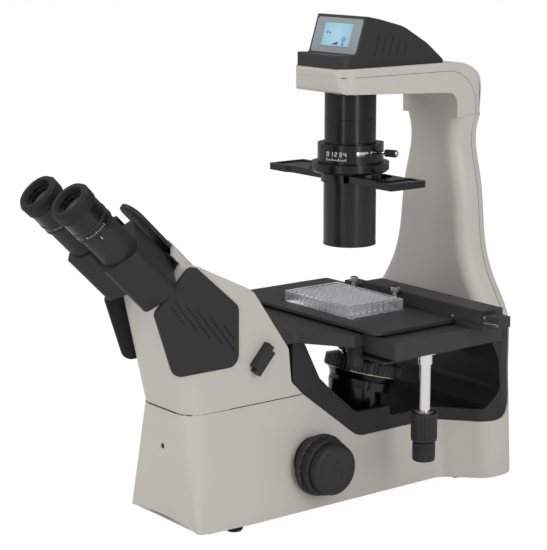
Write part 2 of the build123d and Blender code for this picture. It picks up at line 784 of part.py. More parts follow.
def pillar_solid(grow=0.0):
    """Pillar that flares towards its foot, with the arm on top, less a wall and a floor."""
    foot_z, foot_half = PILLAR_WAIST[0]
    sections = [(foot_z + grow, foot_half)] + PILLAR_WAIST[1:]
    pillar = loft([pillar_section(z, half, grow) for z, half in sections])
    radii = [0.0, 15.0, 6.0, 4.0, ARM_BACK_RADIUS - grow, 0.0]
    arm = prism_x(arm_profile(grow), -ARM_HALF_WIDTH + grow, ARM_HALF_WIDTH - grow, radii)
    if grow > 0:
        return pillar + arm
    return pillar + (arm & arm_plan(PILLAR_WAIST[-1][0] - 2, ARM_TOP_Z + 1))


def back_cover_zone(shrink=0.0):
    """Region of the cover that runs over the arm's top and down the pillar's back."""
    seam_y = REAR_Y + 1 - BACK_COVER_DEPTH + shrink
    seam_z = ARM_SEAM_Z + shrink
    points = [
        (ARM_FRONT_Y - 10, seam_z),
        (seam_y, seam_z),
        (seam_y, COLUMN_TOP - 1),
        (REAR_Y + 20, COLUMN_TOP - 1),
        (REAR_Y + 20, ARM_TOP_Z + 20),
        (ARM_FRONT_Y - 10, ARM_TOP_Z + 20),
    ]
    return prism_x(points, -SLAB_HALF, SLAB_HALF, [0.0, 46.0, 0.0, 0.0, 0.0, 0.0])


LAMP_SEAT_RADIUS = 26.0


def pillar_and_arm():
    """Light grey pillar and arm, hollow, open at the back and top under the cover."""
    shell = pillar_solid() - pillar_solid(COVER_WALL) - back_cover_zone()
    return shell - rod(LAMP_SEAT_RADIUS, (0, 0, 400), (0, 0, ARM_SEAM_Z))


def back_cover():
    """Cover over the top of the arm and down the back of the pillar."""
    return (pillar_solid() - pillar_solid(COVER_WALL)) & back_cover_zone()


# Console

def console_profile():
    """Side view of the console."""
    return [
        (CONSOLE_LIP_Y, ARM_TOP_Z),
        (CONSOLE_LIP_Y - 1, CONSOLE_LIP_Z),
        (SCREEN_FOOT_Y, CONSOLE_LIP_Z - 1),
        (SCREEN_TOP_Y, CONSOLE_TOP_Z - 1),
        (SCREEN_TOP_Y + 2, CONSOLE_TOP_Z),
        (6.0, CONSOLE_TOP_Z - 3.5),
        (43.0, CONSOLE_TOP_Z - 13),
        (80.0, CONSOLE_TOP_Z - 34),
        (CONSOLE_TAIL_Y, ARM_TOP_Z + 1.5),
        (CONSOLE_TAIL_Y, ARM_TOP_Z),
    ]


def screen_frame():
    """Frame on the console's inclined face: x to the right, y up the face."""
    rise = Vector(0, SCREEN_TOP_Y - SCREEN_FOOT_Y, CONSOLE_TOP_Z - CONSOLE_LIP_Z).normalized()
    return Plane(
        origin=(0, SCREEN_FOOT_Y, CONSOLE_LIP_Z - 1),
        x_dir=(1, 0, 0),
        z_dir=Vector(1, 0, 0).cross(rise),
    )


SCREEN_FACE = 45.0
BEZEL_HALF = 41.0
GLASS_HALF_X = 26.0
GLASS_LOW = 9.0
GLASS_HIGH = 37.0


def console_housing():
    """Black console with grip grooves in both sides and a recess for the screen."""
    radii = [0.0, 2.0, 3.0, 0.0, 0.0, 30.0, 60.0, 60.0, 0.0, 0.0]
    body = prism_x(console_profile(), -CONSOLE_HALF, CONSOLE_HALF, radii)
    plan = rectangle(CONSOLE_HALF, CONSOLE_LIP_Y - 1, CONSOLE_TAIL_Y)
    body = body & prism_z(plan, ARM_TOP_Z, CONSOLE_TOP_Z + 1, [14.0, 14.0, 6.0, 6.0])
    cavity = [
        (SCREEN_FOOT_Y + 8, ARM_TOP_Z),
        (SCREEN_FOOT_Y + 8, CONSOLE_LIP_Z),
        (SCREEN_TOP_Y + 8, CONSOLE_TOP_Z - 6),
        (40.0, CONSOLE_TOP_Z - 18),
        (92.0, ARM_TOP_Z + 6),
        (92.0, ARM_TOP_Z),
    ]
    body = body - prism_x(cavity, -CONSOLE_HALF + CONSOLE_WALL, CONSOLE_HALF - CONSOLE_WALL)
    recess = prism_z(rectangle(BEZEL_HALF + SEAT, 1.0, SCREEN_FACE - 2), -SCREEN_TILT_DEPTH, 20, 4.0)
    body = body - (screen_frame() * recess)
    for index in range(5):
        for side in (1, -1):
            groove = block((CONSOLE_HALF - 0.8, CONSOLE_HALF + 1), (-1.2, 1.2), (-14 + index, 14 - index * 1.5))
            groove = Pos(0, 2.0 + index * 11.0, 533.0 + 2 - index * 1.2) * Rot(-14, 0, 0) * groove
            body = body - (groove if side > 0 else mirrored(groove))
    return body


def screen_bezel():
    """Grey frame round the touch screen."""
    depth = SCREEN_TILT_DEPTH
    plate = prism_z(rectangle(BEZEL_HALF, 1 + SEAT, SCREEN_FACE - 2 - SEAT), -depth, 0.4, 3.9)
    window = prism_z(rectangle(GLASS_HALF_X, GLASS_LOW, GLASS_HIGH), -depth, 1, 1.5)
    return screen_frame() * (plate - window)


def touch_screen():
    """Glass of the touch screen, seated in its frame."""
    glass = prism_z(
        rectangle(GLASS_HALF_X - SEAT, GLASS_LOW + SEAT, GLASS_HIGH - SEAT), -SCREEN_TILT_DEPTH, 0.1, 1.4
    )
    return screen_frame() * glass


def control_board():
    """Circuit board behind the touch screen, standing on the arm's cover."""
    foot = ARM_TOP_Z
    board = block((-30, 30), (-6, -4), (foot, foot + 34))
    chips = block((-18, -4), (-4, -2), (foot + 8, foot + 20)) + block((6, 16), (-4, -1.5), (foot + 10, foot + 18))
    return board + chips


# Transmitted light column

def lamp_tube():
    """Upper tube that hangs from the arm, in two joined lengths."""
    top = ARM_UNDER_Z + ARM_UNDER_RISE
    shell = rod(LAMP_TUBE_RADIUS, (0, 0, COLLAR_TOP_Z), (0, 0, top - 4))
    shell = shell - rod(LAMP_TUBE_RADIUS - TUBE_WALL, (0, 0, COLLAR_TOP_Z - 1), (0, 0, top))
    groove = rod(LAMP_TUBE_RADIUS + 1, (0, 0, LAMP_SEAM_Z - 0.4), (0, 0, LAMP_SEAM_Z + 0.4), LAMP_TUBE_RADIUS - 0.7)
    return shell - groove


def lamp_tube_seated():
    """Lamp tube trimmed to the sloping underside of the arm."""
    return lamp_tube() - prism_x(arm_profile(), -60, 60, [0.0, 15.0, 6.0, 4.0, ARM_BACK_RADIUS, 0.0])


LED_BOARD_Z = 485.0


def lamp_module():
    """Light source with its finned heat sink, let into the arm's floor."""
    low = LED_BOARD_Z
    sink = rod(25.5, (0, 0, low), (0, 0, low + 3))
    for step in range(7):
        y = -15.0 + step * 5.0
        sink = sink + block((-16, 16), (y - 0.8, y + 0.8), (low + 2.5, ARM_SEAM_Z - 1))
    stem = rod(22, (0, 0, 470), (0, 0, low), 17)
    flange = rod(25.5, (0, 0, low - 4), (0, 0, low + 0.5), 17)
    return sink + stem + flange + rod(4, (0, 0, low - 2), (0, 0, low + 0.5))


def collector_lens():
    """Collector lens in the lamp tube."""
    reach = LAMP_TUBE_RADIUS - TUBE_WALL
    profile = [(0, 452), (reach, 454.5), (reach, 458), (0, 462)]
    return turned(profile)


def aperture_housing():
    """Housing of the aperture diaphragm, with a slot for its lever."""
    body = rod(COLLAR_RADIUS, (0, 0, FLANGE_TOP_Z), (0, 0, COLLAR_TOP_Z))
    body = body - rod(LAMP_TUBE_RADIUS - TUBE_WALL, (0, 0, FLANGE_TOP_Z - 1), (0, 0, COLLAR_TOP_Z + 1))
    body = body - lever_slot(LEVER_SLOT_HALF, IRIS_Z - 2.2, IRIS_Z + 2.2)
    return body


IRIS_Z = 409.0
IRIS_RADIUS = 33.0
LEVER_AZIMUTH = 20.0
LEVER_SLOT_HALF = 48.0
LEVER_TRAVEL = 40.0


def lever_slot(half_angle, low, high):
    """Annular sector that the aperture lever sweeps."""
    ring = rod(COLLAR_RADIUS + 1, (0, 0, low), (0, 0, high), 20)
    reach = COLLAR_RADIUS * 2
    edges = [LEVER_AZIMUTH - half_angle, LEVER_AZIMUTH, LEVER_AZIMUTH + half_angle]
    points = [(0.0, 0.0)] + [
        (reach * math.cos(math.radians(a)), reach * math.sin(math.radians(a))) for a in edges
    ]
    return (ring & prism_z(points, low, high)) + rod(IRIS_RADIUS + AIR, (0, 0, low), (0, 0, high), 20)


def aperture_lever():
    """Iris ring with its chrome lever and knurled end."""
    ring = rod(IRIS_RADIUS, (0, 0, IRIS_Z - 1.8), (0, 0, IRIS_Z + 1.8), 28)
    stem = rod(1.6, (30, 0, IRIS_Z), (COLLAR_RADIUS + 12, 0, IRIS_Z))
    grip = rod(3.4, (COLLAR_RADIUS + 9, 0, IRIS_Z), (COLLAR_RADIUS + 25, 0, IRIS_Z))
    return Rot(0, 0, LEVER_AZIMUTH) * (ring + stem + grip)


def condenser_flange():
    """Flange with the slot that the phase slider runs in."""
    low = FLANGE_BOTTOM_Z - SLIDER_THICK - 2
    body = rod(FLANGE_RADIUS, (0, 0, FLANGE_BOTTOM_Z + 2), (0, 0, FLANGE_TOP_Z))
    body = chamfer(body.edges().filter_by(GeomType.CIRCLE).group_by(Axis.Z)[0], 2.5)
    lower = rod(LAMP_TUBE_RADIUS + 4, (0, 0, low), (0, 0, FLANGE_BOTTOM_Z + 2))
    lug = block((-42, -24), (-12, 12), (low, FLANGE_BOTTOM_Z + 2))
    body = body + lower + lug
    slot_half = SLIDER_HALF + AIR
    slot_low = FLANGE_BOTTOM_Z - SLIDER_THICK - AIR
    body = body - block((-200, 200), (-slot_half, slot_half), (slot_low, FLANGE_BOTTOM_Z + AIR))
    return body - rod(24, (0, 0, low - 1), (0, 0, FLANGE_TOP_Z + 1))


def phase_slider():
    """Slider with three openings and notched grips at both ends."""
    low = FLANGE_BOTTOM_Z - SLIDER_THICK
    half = SLIDER_HALF
    points = [
        (SLIDER_LEFT, -half),
        (SLIDER_LEFT + 34, -half),
        (SLIDER_LEFT + 38, -half + 4),
        (SLIDER_RIGHT - 30, -half + 4),
        (SLIDER_RIGHT - 26, -half),
        (SLIDER_RIGHT, -half),
        (SLIDER_RIGHT, half),
        (SLIDER_RIGHT - 26, half),
        (SLIDER_RIGHT - 30, half - 4),
        (SLIDER_LEFT + 38, half - 4),
        (SLIDER_LEFT + 34, half),
        (SLIDER_LEFT, half),
    ]
    body = prism_z(points, low, FLANGE_BOTTOM_Z, [3, 0, 0, 0, 0, 3, 3, 0, 0, 0, 0, 3])
    for x in (-SLIDER_PITCH, 0.0, SLIDER_PITCH):
        body = body - rod(18, (x, 0, low - 1), (x, 0, FLANGE_BOTTOM_Z + 1))
        body = body - rod(20.5, (x, 0, FLANGE_BOTTOM_Z - 5), (x, 0, FLANGE_BOTTOM_Z + 1))
    for low_x, high_x in ((SLIDER_LEFT + 5, SLIDER_LEFT + 30), (SLIDER_RIGHT - 23, SLIDER_RIGHT - 5)):
        body = body - block((low_x, high_x), (-half + 6, half - 6), (FLANGE_BOTTOM_Z - 1.2, FLANGE_BOTTOM_Z + 1))
    return body


SLIDER_PITCH = 45.0
SLIDER_TRAVEL = 45.0


def phase_rings():
    """Glass plates seated in the slider's openings."""
    rings = []
    for x in (-SLIDER_PITCH, 0.0, SLIDER_PITCH):
        rings.append(rod(20.5, (x, 0, FLANGE_BOTTOM_Z - 5), (x, 0, FLANGE_BOTTOM_Z - 3)))
    return rings


def condenser_tube():
    """Long-working-distance condenser barrel under the flange."""
    top = FLANGE_BOTTOM_Z - SLIDER_THICK - 2
    body = rod(CONDENSER_RADIUS, (0, 0, CONDENSER_BOTTOM_Z), (0, 0, top), CONDENSER_RADIUS - CONDENSER_WALL)
    lip = rod(CONDENSER_RADIUS - 1, (0, 0, CONDENSER_BOTTOM_Z), (0, 0, CONDENSER_BOTTOM_Z + 3), 24)
    return body + lip


def condenser_lens():
    """Front lens of the condenser."""
    reach = CONDENSER_RADIUS - CONDENSER_WALL
    low = CONDENSER_BOTTOM_Z + 3
    return turned([(0, low), (reach, low), (reach, low + 4), (0, low + 11)])


# Gears and racks

def gear(teeth, module, low, high, bore):
    """Spur gear with straight-sided teeth and some backlash, first tooth along +x."""
    pitch = teeth * module / 2
    tip = pitch + 0.8 * module
    root = pitch - 1.1 * module
    step = 2 * math.pi / teeth
    body = rod(root, (0, 0, low), (0, 0, high))
    tooth = [
        (root - 0.3 * module, -0.30 * step * pitch),
        (tip, -0.10 * step * pitch),
        (tip, 0.10 * step * pitch),
        (root - 0.3 * module, 0.30 * step * pitch),
    ]
    shape = prism_z(tooth, low, high)
    body = body + [Rot(0, 0, math.degrees(step * index)) * shape for index in range(teeth)]
    if bore > 0:
        body = body - rod(bore, (0, 0, low - 1), (0, 0, high + 1))
    return body


def rack_outline(count, module, depth):
    """Toothed edge along +y with the pitch line on x = 0 and a tooth gap at y = 0."""
    pitch = math.pi * module
    points = [(-depth, -count * pitch / 2), (-1.1 * module, -count * pitch / 2)]
    for index in range(count):
        middle = (index + 0.5 - count / 2) * pitch
        points += [
            (-1.1 * module, middle - 0.30 * pitch),
            (0.8 * module, middle - 0.10 * pitch),
            (0.8 * module, middle + 0.10 * pitch),
            (-1.1 * module, middle + 0.30 * pitch),
        ]
    points += [(-1.1 * module, count * pitch / 2), (-depth, count * pitch / 2)]
    return points


# Focus drive

def focus_bearing():
    """Round bearing plate in the right wall that carries the focus shaft."""
    inner = KNOB_WALL_X - 26
    body = rod(BEARING_RADIUS, (KNOB_WALL_X - 14, FOCUS_Y, FOCUS_Z), (KNOB_WALL_X - AIR, FOCUS_Y, FOCUS_Z))
    body = body + rod(10, (inner, FOCUS_Y, FOCUS_Z), (KNOB_WALL_X - 10, FOCUS_Y, FOCUS_Z))
    return body - focus_bore(COARSE_SHAFT_RADIUS + RUN)


def coarse_shaft():
    """Hollow shaft with its two pinions."""
    reach = COARSE_END_X - 6
    body = rod(COARSE_SHAFT_RADIUS, (-reach, FOCUS_Y, FOCUS_Z), (reach, FOCUS_Y, FOCUS_Z), FINE_SHAFT_RADIUS + RUN)
    pinion = gear(FOCUS_TEETH, FOCUS_MODULE, 0, SIDE_PLATE_THICK + 2, COARSE_SHAFT_RADIUS - 0.5)
    place = Plane(origin=(SIDE_PLATE_X - 1, FOCUS_Y, FOCUS_Z), x_dir=(0, 1, 0), z_dir=(1, 0, 0))
    for wheel in (place * pinion, mirrored(place * pinion)):
        body = body + wheel
    return body


def coarse_knob():
    """Right coarse knob: ribbed flange and fluted grip round the shaft."""
    profile = [
        (COARSE_SHAFT_RADIUS, 0),
        (COARSE_FLANGE_RADIUS - 1.5, 0),
        (COARSE_FLANGE_RADIUS, 1.5),
        (COARSE_FLANGE_RADIUS, 6.5),
        (COARSE_FLANGE_RADIUS - 1.5, 8),
        (COARSE_GRIP_RADIUS, 8),
        (COARSE_GRIP_RADIUS, COARSE_END_X - KNOB_WALL_X - 1),
        (COARSE_GRIP_RADIUS - 1, COARSE_END_X - KNOB_WALL_X),
        (COARSE_SHAFT_RADIUS, COARSE_END_X - KNOB_WALL_X),
    ]
    place = Plane(origin=(KNOB_WALL_X, FOCUS_Y, FOCUS_Z), x_dir=(0, 1, 0), z_dir=(1, 0, 0))
    body = turned(profile)
    flute = rod(2.0, (COARSE_GRIP_RADIUS + 0.9, 0, 9.5), (COARSE_GRIP_RADIUS + 0.9, 0, 30))
    body = body - [Rot(0, 0, 15 * index) * flute for index in range(24)]
    return place * body


def fine_shaft():
    """Inner shaft of the fine drive."""
    reach = FINE_END_X - 4
    return rod(FINE_SHAFT_RADIUS, (-reach, FOCUS_Y, FOCUS_Z), (reach, FOCUS_Y, FOCUS_Z))


def fine_knob():
    """Right fine knob: a plain disc with a chamfered rim."""
    length = FINE_END_X - COARSE_END_X - AIR
    profile = [
        (FINE_SHAFT_RADIUS, 0),
        (FINE_KNOB_RADIUS, 0),
        (FINE_KNOB_RADIUS, length - 2.5),
        (FINE_KNOB_RADIUS - 2.5, length),
        (0, length),
        (0, length - 4),
        (FINE_SHAFT_RADIUS, length - 4),
    ]
    place = Plane(origin=(COARSE_END_X + AIR, FOCUS_Y, FOCUS_Z), x_dir=(0, 1, 0), z_dir=(1, 0, 0))
    return turned(profile, place)


def turret_frame():
    """Frame of the nosepiece, z along its tilted axis, origin in the shoulder plane."""
    tilt = math.radians(TURRET_TILT)
    drop = TURRET_OFFSET_Y * math.tan(tilt)
    return Plane(
        origin=(0, TURRET_OFFSET_Y, SHOULDER_Z - drop),
        x_dir=(1, 0, 0),
        z_dir=(0, math.sin(tilt), math.cos(tilt)),
    )


CARRIAGE_TOP = -32.0


def focus_carriage():
    """Moving carriage: side plates with racks, column and tilted nosepiece seat."""
    low, high = 40.0, 66.0
    column = rod(CARRIAGE_RADIUS, (0, CARRIAGE_Y, high - 6), (0, CARRIAGE_Y, 150))
    disc = turret_frame() * rod(38, (0, 0, CARRIAGE_TOP - 10), (0, 0, CARRIAGE_TOP))
    above = turret_frame() * block((-90, 90), (-90, 90), (CARRIAGE_TOP - 5, 90))
    body = (column - above) + disc
    body = body - rod(CARRIAGE_BORE, (0, CARRIAGE_Y, 0), (0, CARRIAGE_Y, high + 30))
    body = body - rod(13, (0, 0, 50), (0, 0, 160))
    body = body + (turret_frame() * rod(TURRET_PIN_RADIUS, (0, 0, CARRIAGE_TOP - 5), (0, 0, 2)))
    rack_front = FOCUS_Y + FOCUS_TEETH * FOCUS_MODULE / 2
    depth = 8.0
    plate = [
        (rack_front + depth - 1, low),
        (CARRIAGE_Y + 20, low),
        (CARRIAGE_Y + 20, high),
        (-50.0, high),
        (-70.0, high + 12),
        (rack_front + depth - 1, high + 12),
    ]
    plate_x = (SIDE_PLATE_X, SIDE_PLATE_X + SIDE_PLATE_THICK)
    side = prism_x(plate, *plate_x)
    teeth = outline([(-x, y) for x, y in rack_outline(14, FOCUS_MODULE, depth)])
    place = Plane(origin=(plate_x[0], rack_front, FOCUS_Z), x_dir=(0, 1, 0), z_dir=(1, 0, 0))
    side = side + (place * extrude(teeth, amount=SIDE_PLATE_THICK))
    ear_x = (SIDE_PLATE_X + SIDE_PLATE_THICK - 1, GUIDE_ROD_X + GUIDE_ROD_RADIUS + 4)
    side = side + block(ear_x, (CARRIAGE_Y - 12, CARRIAGE_Y + 12), (low, high))
    side = side + block(
        (SIDE_PLATE_X, CARRIAGE_RADIUS - 1), (CARRIAGE_Y - 8, CARRIAGE_Y + 8), (high - 1, high + 12)
    )
    side = side - rod(GUIDE_ROD_RADIUS + RUN, (GUIDE_ROD_X, CARRIAGE_Y, 0), (GUIDE_ROD_X, CARRIAGE_Y, 90))
    return body + side + mirrored(side)


def guide_rods():
    """Two ground rods between the bottom plate and the casting's floor."""
    low = BASE_BOTTOM + 2.5
    right = rod(GUIDE_ROD_RADIUS, (GUIDE_ROD_X, CARRIAGE_Y, low), (GUIDE_ROD_X, CARRIAGE_Y, RIM_Z))
    return [right, mirrored(right)]


def objective_places():
    """Frames of the objective seats round the nosepiece, the first one in use."""
    reach = TURRET_OFFSET_Y / math.cos(math.radians(TURRET_TILT))
    places = []
    for index in range(OBJECTIVES):
        turn = Rot(0, 0, 360.0 / OBJECTIVES * index)
        seat = Pos(0, -reach, 0) * Rot(TURRET_TILT, 0, 0)
        places.append(turret_frame() * turn * seat)
    return places


def turret():
    """Ribbed nosepiece with threaded seats for the objectives."""
    low = CARRIAGE_TOP + AIR
    cone = (TURRET_OFFSET_Y - 12.0) * math.tan(math.radians(TURRET_TILT))
    profile = [
        (TURRET_PIN_RADIUS + RUN, low),
        (38.0, low),
        (43.0, -22.0),
        (TURRET_RADIUS, -22.0),
        (TURRET_RADIUS, -9.0),
        (44.0, -8.0),
        (12.0, cone),
        (TURRET_PIN_RADIUS + RUN, cone),
    ]
    body = turned(profile)
    rib = rod(1.1, (TURRET_RADIUS + 0.3, 0, -23), (TURRET_RADIUS + 0.3, 0, -8))
    body = body - [Rot(0, 0, 360.0 / TURRET_RIBS * index) * rib for index in range(TURRET_RIBS)]
    body = turret_frame() * body
    for place in objective_places():
        body = body - place * rod(OBJECTIVE_RADIUS + 1, (0, 0, 0), (0, 0, 12))
        body = body - place * rod(OBJECTIVE_THREAD_RADIUS, (0, 0, -45), (0, 0, 1))
    return body


def objective(index):
    """One objective with its thread, body, ring and front lens cone."""
    length = OBJECTIVE_LENGTHS[index]
    profile = [
        (0, -5),
        (OBJECTIVE_THREAD_RADIUS, -5),
        (OBJECTIVE_THREAD_RADIUS, 0),
        (OBJECTIVE_RADIUS, 0),
        (OBJECTIVE_RADIUS, length * 0.62),
        (OBJECTIVE_RADIUS - 1, length * 0.64),
        (OBJECTIVE_RADIUS - 1, length * 0.82),
        (OBJECTIVE_RADIUS - 5, length),
        (0, length),
    ]
    return turned(profile, objective_places()[index])


# Stage

def stage_slab():
    """Fixed stage: slab with its light opening and the winged neck to the front cover."""
    slab = prism_z(rectangle(SLAB_HALF, SLAB_FRONT_Y, SLAB_REAR_Y), SLAB_BOTTOM_Z, SLAB_TOP_Z, 5.0)
    neck = [
        (-NECK_HALF, NECK_ROOT_Y),
        (NECK_HALF, NECK_ROOT_Y),
        (NECK_HALF, WING_START_Y),
        (WING_HALF, WING_Y),
        (WING_HALF, SLAB_FRONT_Y + 2),
        (-WING_HALF, SLAB_FRONT_Y + 2),
        (-WING_HALF, WING_Y),
        (-NECK_HALF, WING_START_Y),
    ]
    slab = slab + prism_z(neck, NECK_BOTTOM_Z, SLAB_TOP_Z, [0, 0, 8, 4, 0, 0, 4, 8])
    slab = slab - front_block(SLAB_HALF)
    hole = rectangle(SLAB_HOLE_HALF, SLAB_HOLE_FRONT_Y, SLAB_HOLE_REAR_Y)
    slab = slab - prism_z(hole, SLAB_BOTTOM_Z - 1, SLAB_TOP_Z + 1, 24.0)
    drive_radius = DRIVE_TEETH * GEAR_MODULE / 2 + 2
    idler_radius = IDLER_TEETH * GEAR_MODULE / 2 + 2
    for x, radius in ((DRIVE_X, drive_radius), (IDLER_X, idler_radius)):
        slab = slab - rod(radius, (x, DRIVE_Y, SLAB_BOTTOM_Z - 1), (x, DRIVE_Y, POCKET_TOP_Z))
    slab = slab - rod(IDLER_SHAFT_RADIUS + RUN, (IDLER_X, DRIVE_Y, 190), (IDLER_X, DRIVE_Y, SLAB_TOP_Z + 1))
    return slab


POCKET_TOP_Z = 209.0
GEAR_LOW_Z = 196.0
GEAR_HIGH_Z = 202.0
IDLER_SHAFT_RADIUS = 3.0
DRIVE_PLATE_LOW = 187.5
POST_LOW_Z = 178.0


def stage_posts():
    """Short posts under the wings of the neck, one on each side."""
    right = block((WING_HALF - 13, WING_HALF - 1), (WING_Y + 1.5, WING_Y + 15.5), (POST_LOW_Z, NECK_BOTTOM_Z))
    return [right, mirrored(right)]


def y_rail():
    """Moving rail: channel for the cross slide, with a guide tongue and a rack under it."""
    low = SLAB_TOP_Z + AIR
    outer = block((RAIL_LEFT, RAIL_RIGHT), (RAIL_FRONT_Y, RAIL_REAR_Y), (low, RAIL_TOP_Z))
    channel = block(
        (RAIL_LEFT - 1, RAIL_RIGHT + 1),
        (RAIL_FRONT_Y - 1, RAIL_REAR_Y - 11),
        (TABLE_TOP_Z, RAIL_TOP_Z - RAIL_WALL),
    )
    body = outer - channel
    tongue_top = TABLE_TOP_Z - TABLE_THICK - AIR
    body = body + block((80, 88), (-45, RAIL_FRONT_Y + 1), (low, tongue_top))
    rack_x = IDLER_X + RACK_PINION_TEETH * GEAR_MODULE / 2
    teeth = outline([(-x, y) for x, y in rack_outline(30, GEAR_MODULE, 7.0)])
    body = body + (Pos(rack_x, DRIVE_Y, low) * extrude(teeth, amount=tongue_top - low))
    return body + block((rack_x + 1.2, rack_x + 7), (30, RAIL_FRONT_Y + 1), (low, tongue_top))


def slide_bar():
    """Cross slide bar in the rail, with the tongue that the table is screwed to."""
    low = TABLE_TOP_Z + AIR
    high = RAIL_TOP_Z - RAIL_WALL - AIR
    bar = block((BAR_LEFT, BAR_RIGHT), (RAIL_FRONT_Y + 1, RAIL_REAR_Y - 11 - AIR), (low, high))
    tongue = block((-52, 52), (TABLE_REAR_Y - 9.5, RAIL_FRONT_Y + 2), (TABLE_TOP_Z, TABLE_TOP_Z + 5))
    return bar + tongue


def table_plate():
    """Moving table plate with a stepped opening for the well plate."""
    low = TABLE_TOP_Z - TABLE_THICK
    points = rectangle(TABLE_HALF, TABLE_FRONT_Y, TABLE_REAR_Y)
    plate = prism_z(points, low, TABLE_TOP_Z, [10.0, 10.0, 3.0, 3.0])
    centre = WELL_PLATE_CENTRE_Y
    half_x = WELL_PLATE_X / 2 + AIR
    half_y = WELL_PLATE_Y / 2 + AIR
    seat_z = WELL_PLATE_TOP_Z - WELL_PLATE_HEIGHT
    opening = rectangle(half_x, centre - half_y, centre + half_y)
    plate = plate - prism_z(opening, seat_z, TABLE_TOP_Z + 1)
    for x in (-1, 1):
        for y in (-1, 1):
            notch = rod(4.5, (x * half_x, centre + y * (half_y - 3), seat_z), (x * half_x, centre + y * (half_y - 3), 240))
            plate = plate - notch
    ledge = 4.0
    through = rectangle(half_x - ledge, centre - half_y + ledge, centre + half_y - ledge)
    return plate - prism_z(through, low - 1, TABLE_TOP_Z, 4.0)


def clamp_screws():
    """Two knurled screws that hold the table to the cross slide."""
    top = TABLE_TOP_Z + 5
    screws = []
    for x in (-CLAMP_SCREW_X, CLAMP_SCREW_X):
        stem = rod(2.2, (x, CLAMP_SCREW_Y, top), (x, CLAMP_SCREW_Y, top + 12))
        head = rod(5.0, (x, CLAMP_SCREW_Y, top + 10), (x, CLAMP_SCREW_Y, top + 17))
        screws.append(stem + head)
    return screws


def well_plate():
    """Well plate of the standard footprint with 96 round wells."""
    seat_z = WELL_PLATE_TOP_Z - WELL_PLATE_HEIGHT
    centre = WELL_PLATE_CENTRE_Y
    half_x, half_y = WELL_PLATE_X / 2, WELL_PLATE_Y / 2
    skirt = prism_z(rectangle(half_x, centre - half_y, centre + half_y), seat_z, seat_z + 3, 3.0)
    step = 1.3
    upper = rectangle(half_x - step, centre - half_y + step, centre + half_y - step)
    body = skirt + prism_z(upper, seat_z + 3, WELL_PLATE_TOP_Z, 3.0)
    inner = rectangle(half_x - 2.6, centre - half_y + 2.6, centre + half_y - 2.6)
    body = body - prism_z(inner, seat_z - 1, WELL_PLATE_TOP_Z - 12.5, 2.0)
    wells = []
    for column in range(WELL_COLUMNS):
        for row in range(WELL_ROWS):
            x = (column - (WELL_COLUMNS - 1) / 2) * WELL_PITCH
            y = centre + (row - (WELL_ROWS - 1) / 2) * WELL_PITCH
            wells.append(rod(WELL_RADIUS, (x, y, WELL_PLATE_TOP_Z - 10.7), (x, y, WELL_PLATE_TOP_Z + 1)))
    return body - wells


def drive_plate():
    """Bearing plate under the slab's gear pocket."""
    frame = block((92, 146), (-70, 45), (DRIVE_PLATE_LOW, DRIVE_PLATE_LOW + 3))
    spacer = block((96, 142), (-60, 36), (DRIVE_PLATE_LOW + 3, SLAB_BOTTOM_Z))
    body = frame + spacer
    body = body - rod(COLLAR_CLEAR, (DRIVE_X, DRIVE_Y, 180), (DRIVE_X, DRIVE_Y, 200))
    body = body - rod(20, (IDLER_X, DRIVE_Y, DRIVE_PLATE_LOW + 3), (IDLER_X, DRIVE_Y, 200))
    return body - rod(IDLER_SHAFT_RADIUS + RUN, (IDLER_X, DRIVE_Y, 180), (IDLER_X, DRIVE_Y, 200))


COLLAR_FLANGE_RADIUS = 12.8
COLLAR_CLEAR = COLLAR_FLANGE_RADIUS + AIR


def drive_collar():
    """Chrome collar and outer sleeve of the stage drive, fixed under the slab."""
    body = rod(DRIVE_COLLAR_RADIUS, (DRIVE_X, DRIVE_Y, 180.0), (DRIVE_X, DRIVE_Y, SLAB_BOTTOM_Z - 0.5))
    flange = rod(COLLAR_FLANGE_RADIUS, (DRIVE_X, DRIVE_Y, SLAB_BOTTOM_Z - 1.5), (DRIVE_X, DRIVE_Y, SLAB_BOTTOM_Z + 1.0))
    body = body + flange
    return body - rod(DRIVE_SHAFT_RADIUS + RUN, (DRIVE_X, DRIVE_Y, 170), (DRIVE_X, DRIVE_Y, 200))


INNER_SHAFT_RADIUS = 3.0


def y_drive_shaft():
    """Chrome hollow shaft of the Y drive with its gear."""
    body = rod(DRIVE_SHAFT_RADIUS, (DRIVE_X, DRIVE_Y, Y_KNOB_TOP - 4), (DRIVE_X, DRIVE_Y, GEAR_LOW_Z + 0.5))
    wheel = gear(DRIVE_TEETH, GEAR_MODULE, GEAR_LOW_Z, GEAR_HIGH_Z, 0)
    body = body + (Pos(DRIVE_X, DRIVE_Y, 0) * Rot(0, 0, 180.0 / DRIVE_TEETH) * wheel)
    return body - rod(INNER_SHAFT_RADIUS + RUN, (DRIVE_X, DRIVE_Y, 60), (DRIVE_X, DRIVE_Y, 220))


def knob(radius, low, high, bore, flutes):
    """Cylindrical knob with chamfered ends and shallow flutes."""
    profile = [(bore, low), (radius - 1, low), (radius, low + 1), (radius, high - 1), (radius - 1, high), (bore, high)]
    body = turned(profile)
    flute = rod(0.9, (radius + 0.4, 0, low + 2), (radius + 0.4, 0, high - 2))
    body = body - [Rot(0, 0, 360.0 / flutes * index) * flute for index in range(flutes)]
    return Pos(DRIVE_X, DRIVE_Y, 0) * body


def y_knob():
    """Upper knob, which moves the table towards and away from the operator."""
    body = knob(Y_KNOB_RADIUS, Y_KNOB_BOTTOM, Y_KNOB_TOP, INNER_SHAFT_RADIUS + RUN, 20)
    return body - rod(DRIVE_SHAFT_RADIUS, (DRIVE_X, DRIVE_Y, Y_KNOB_TOP - 4), (DRIVE_X, DRIVE_Y, Y_KNOB_TOP + 1))


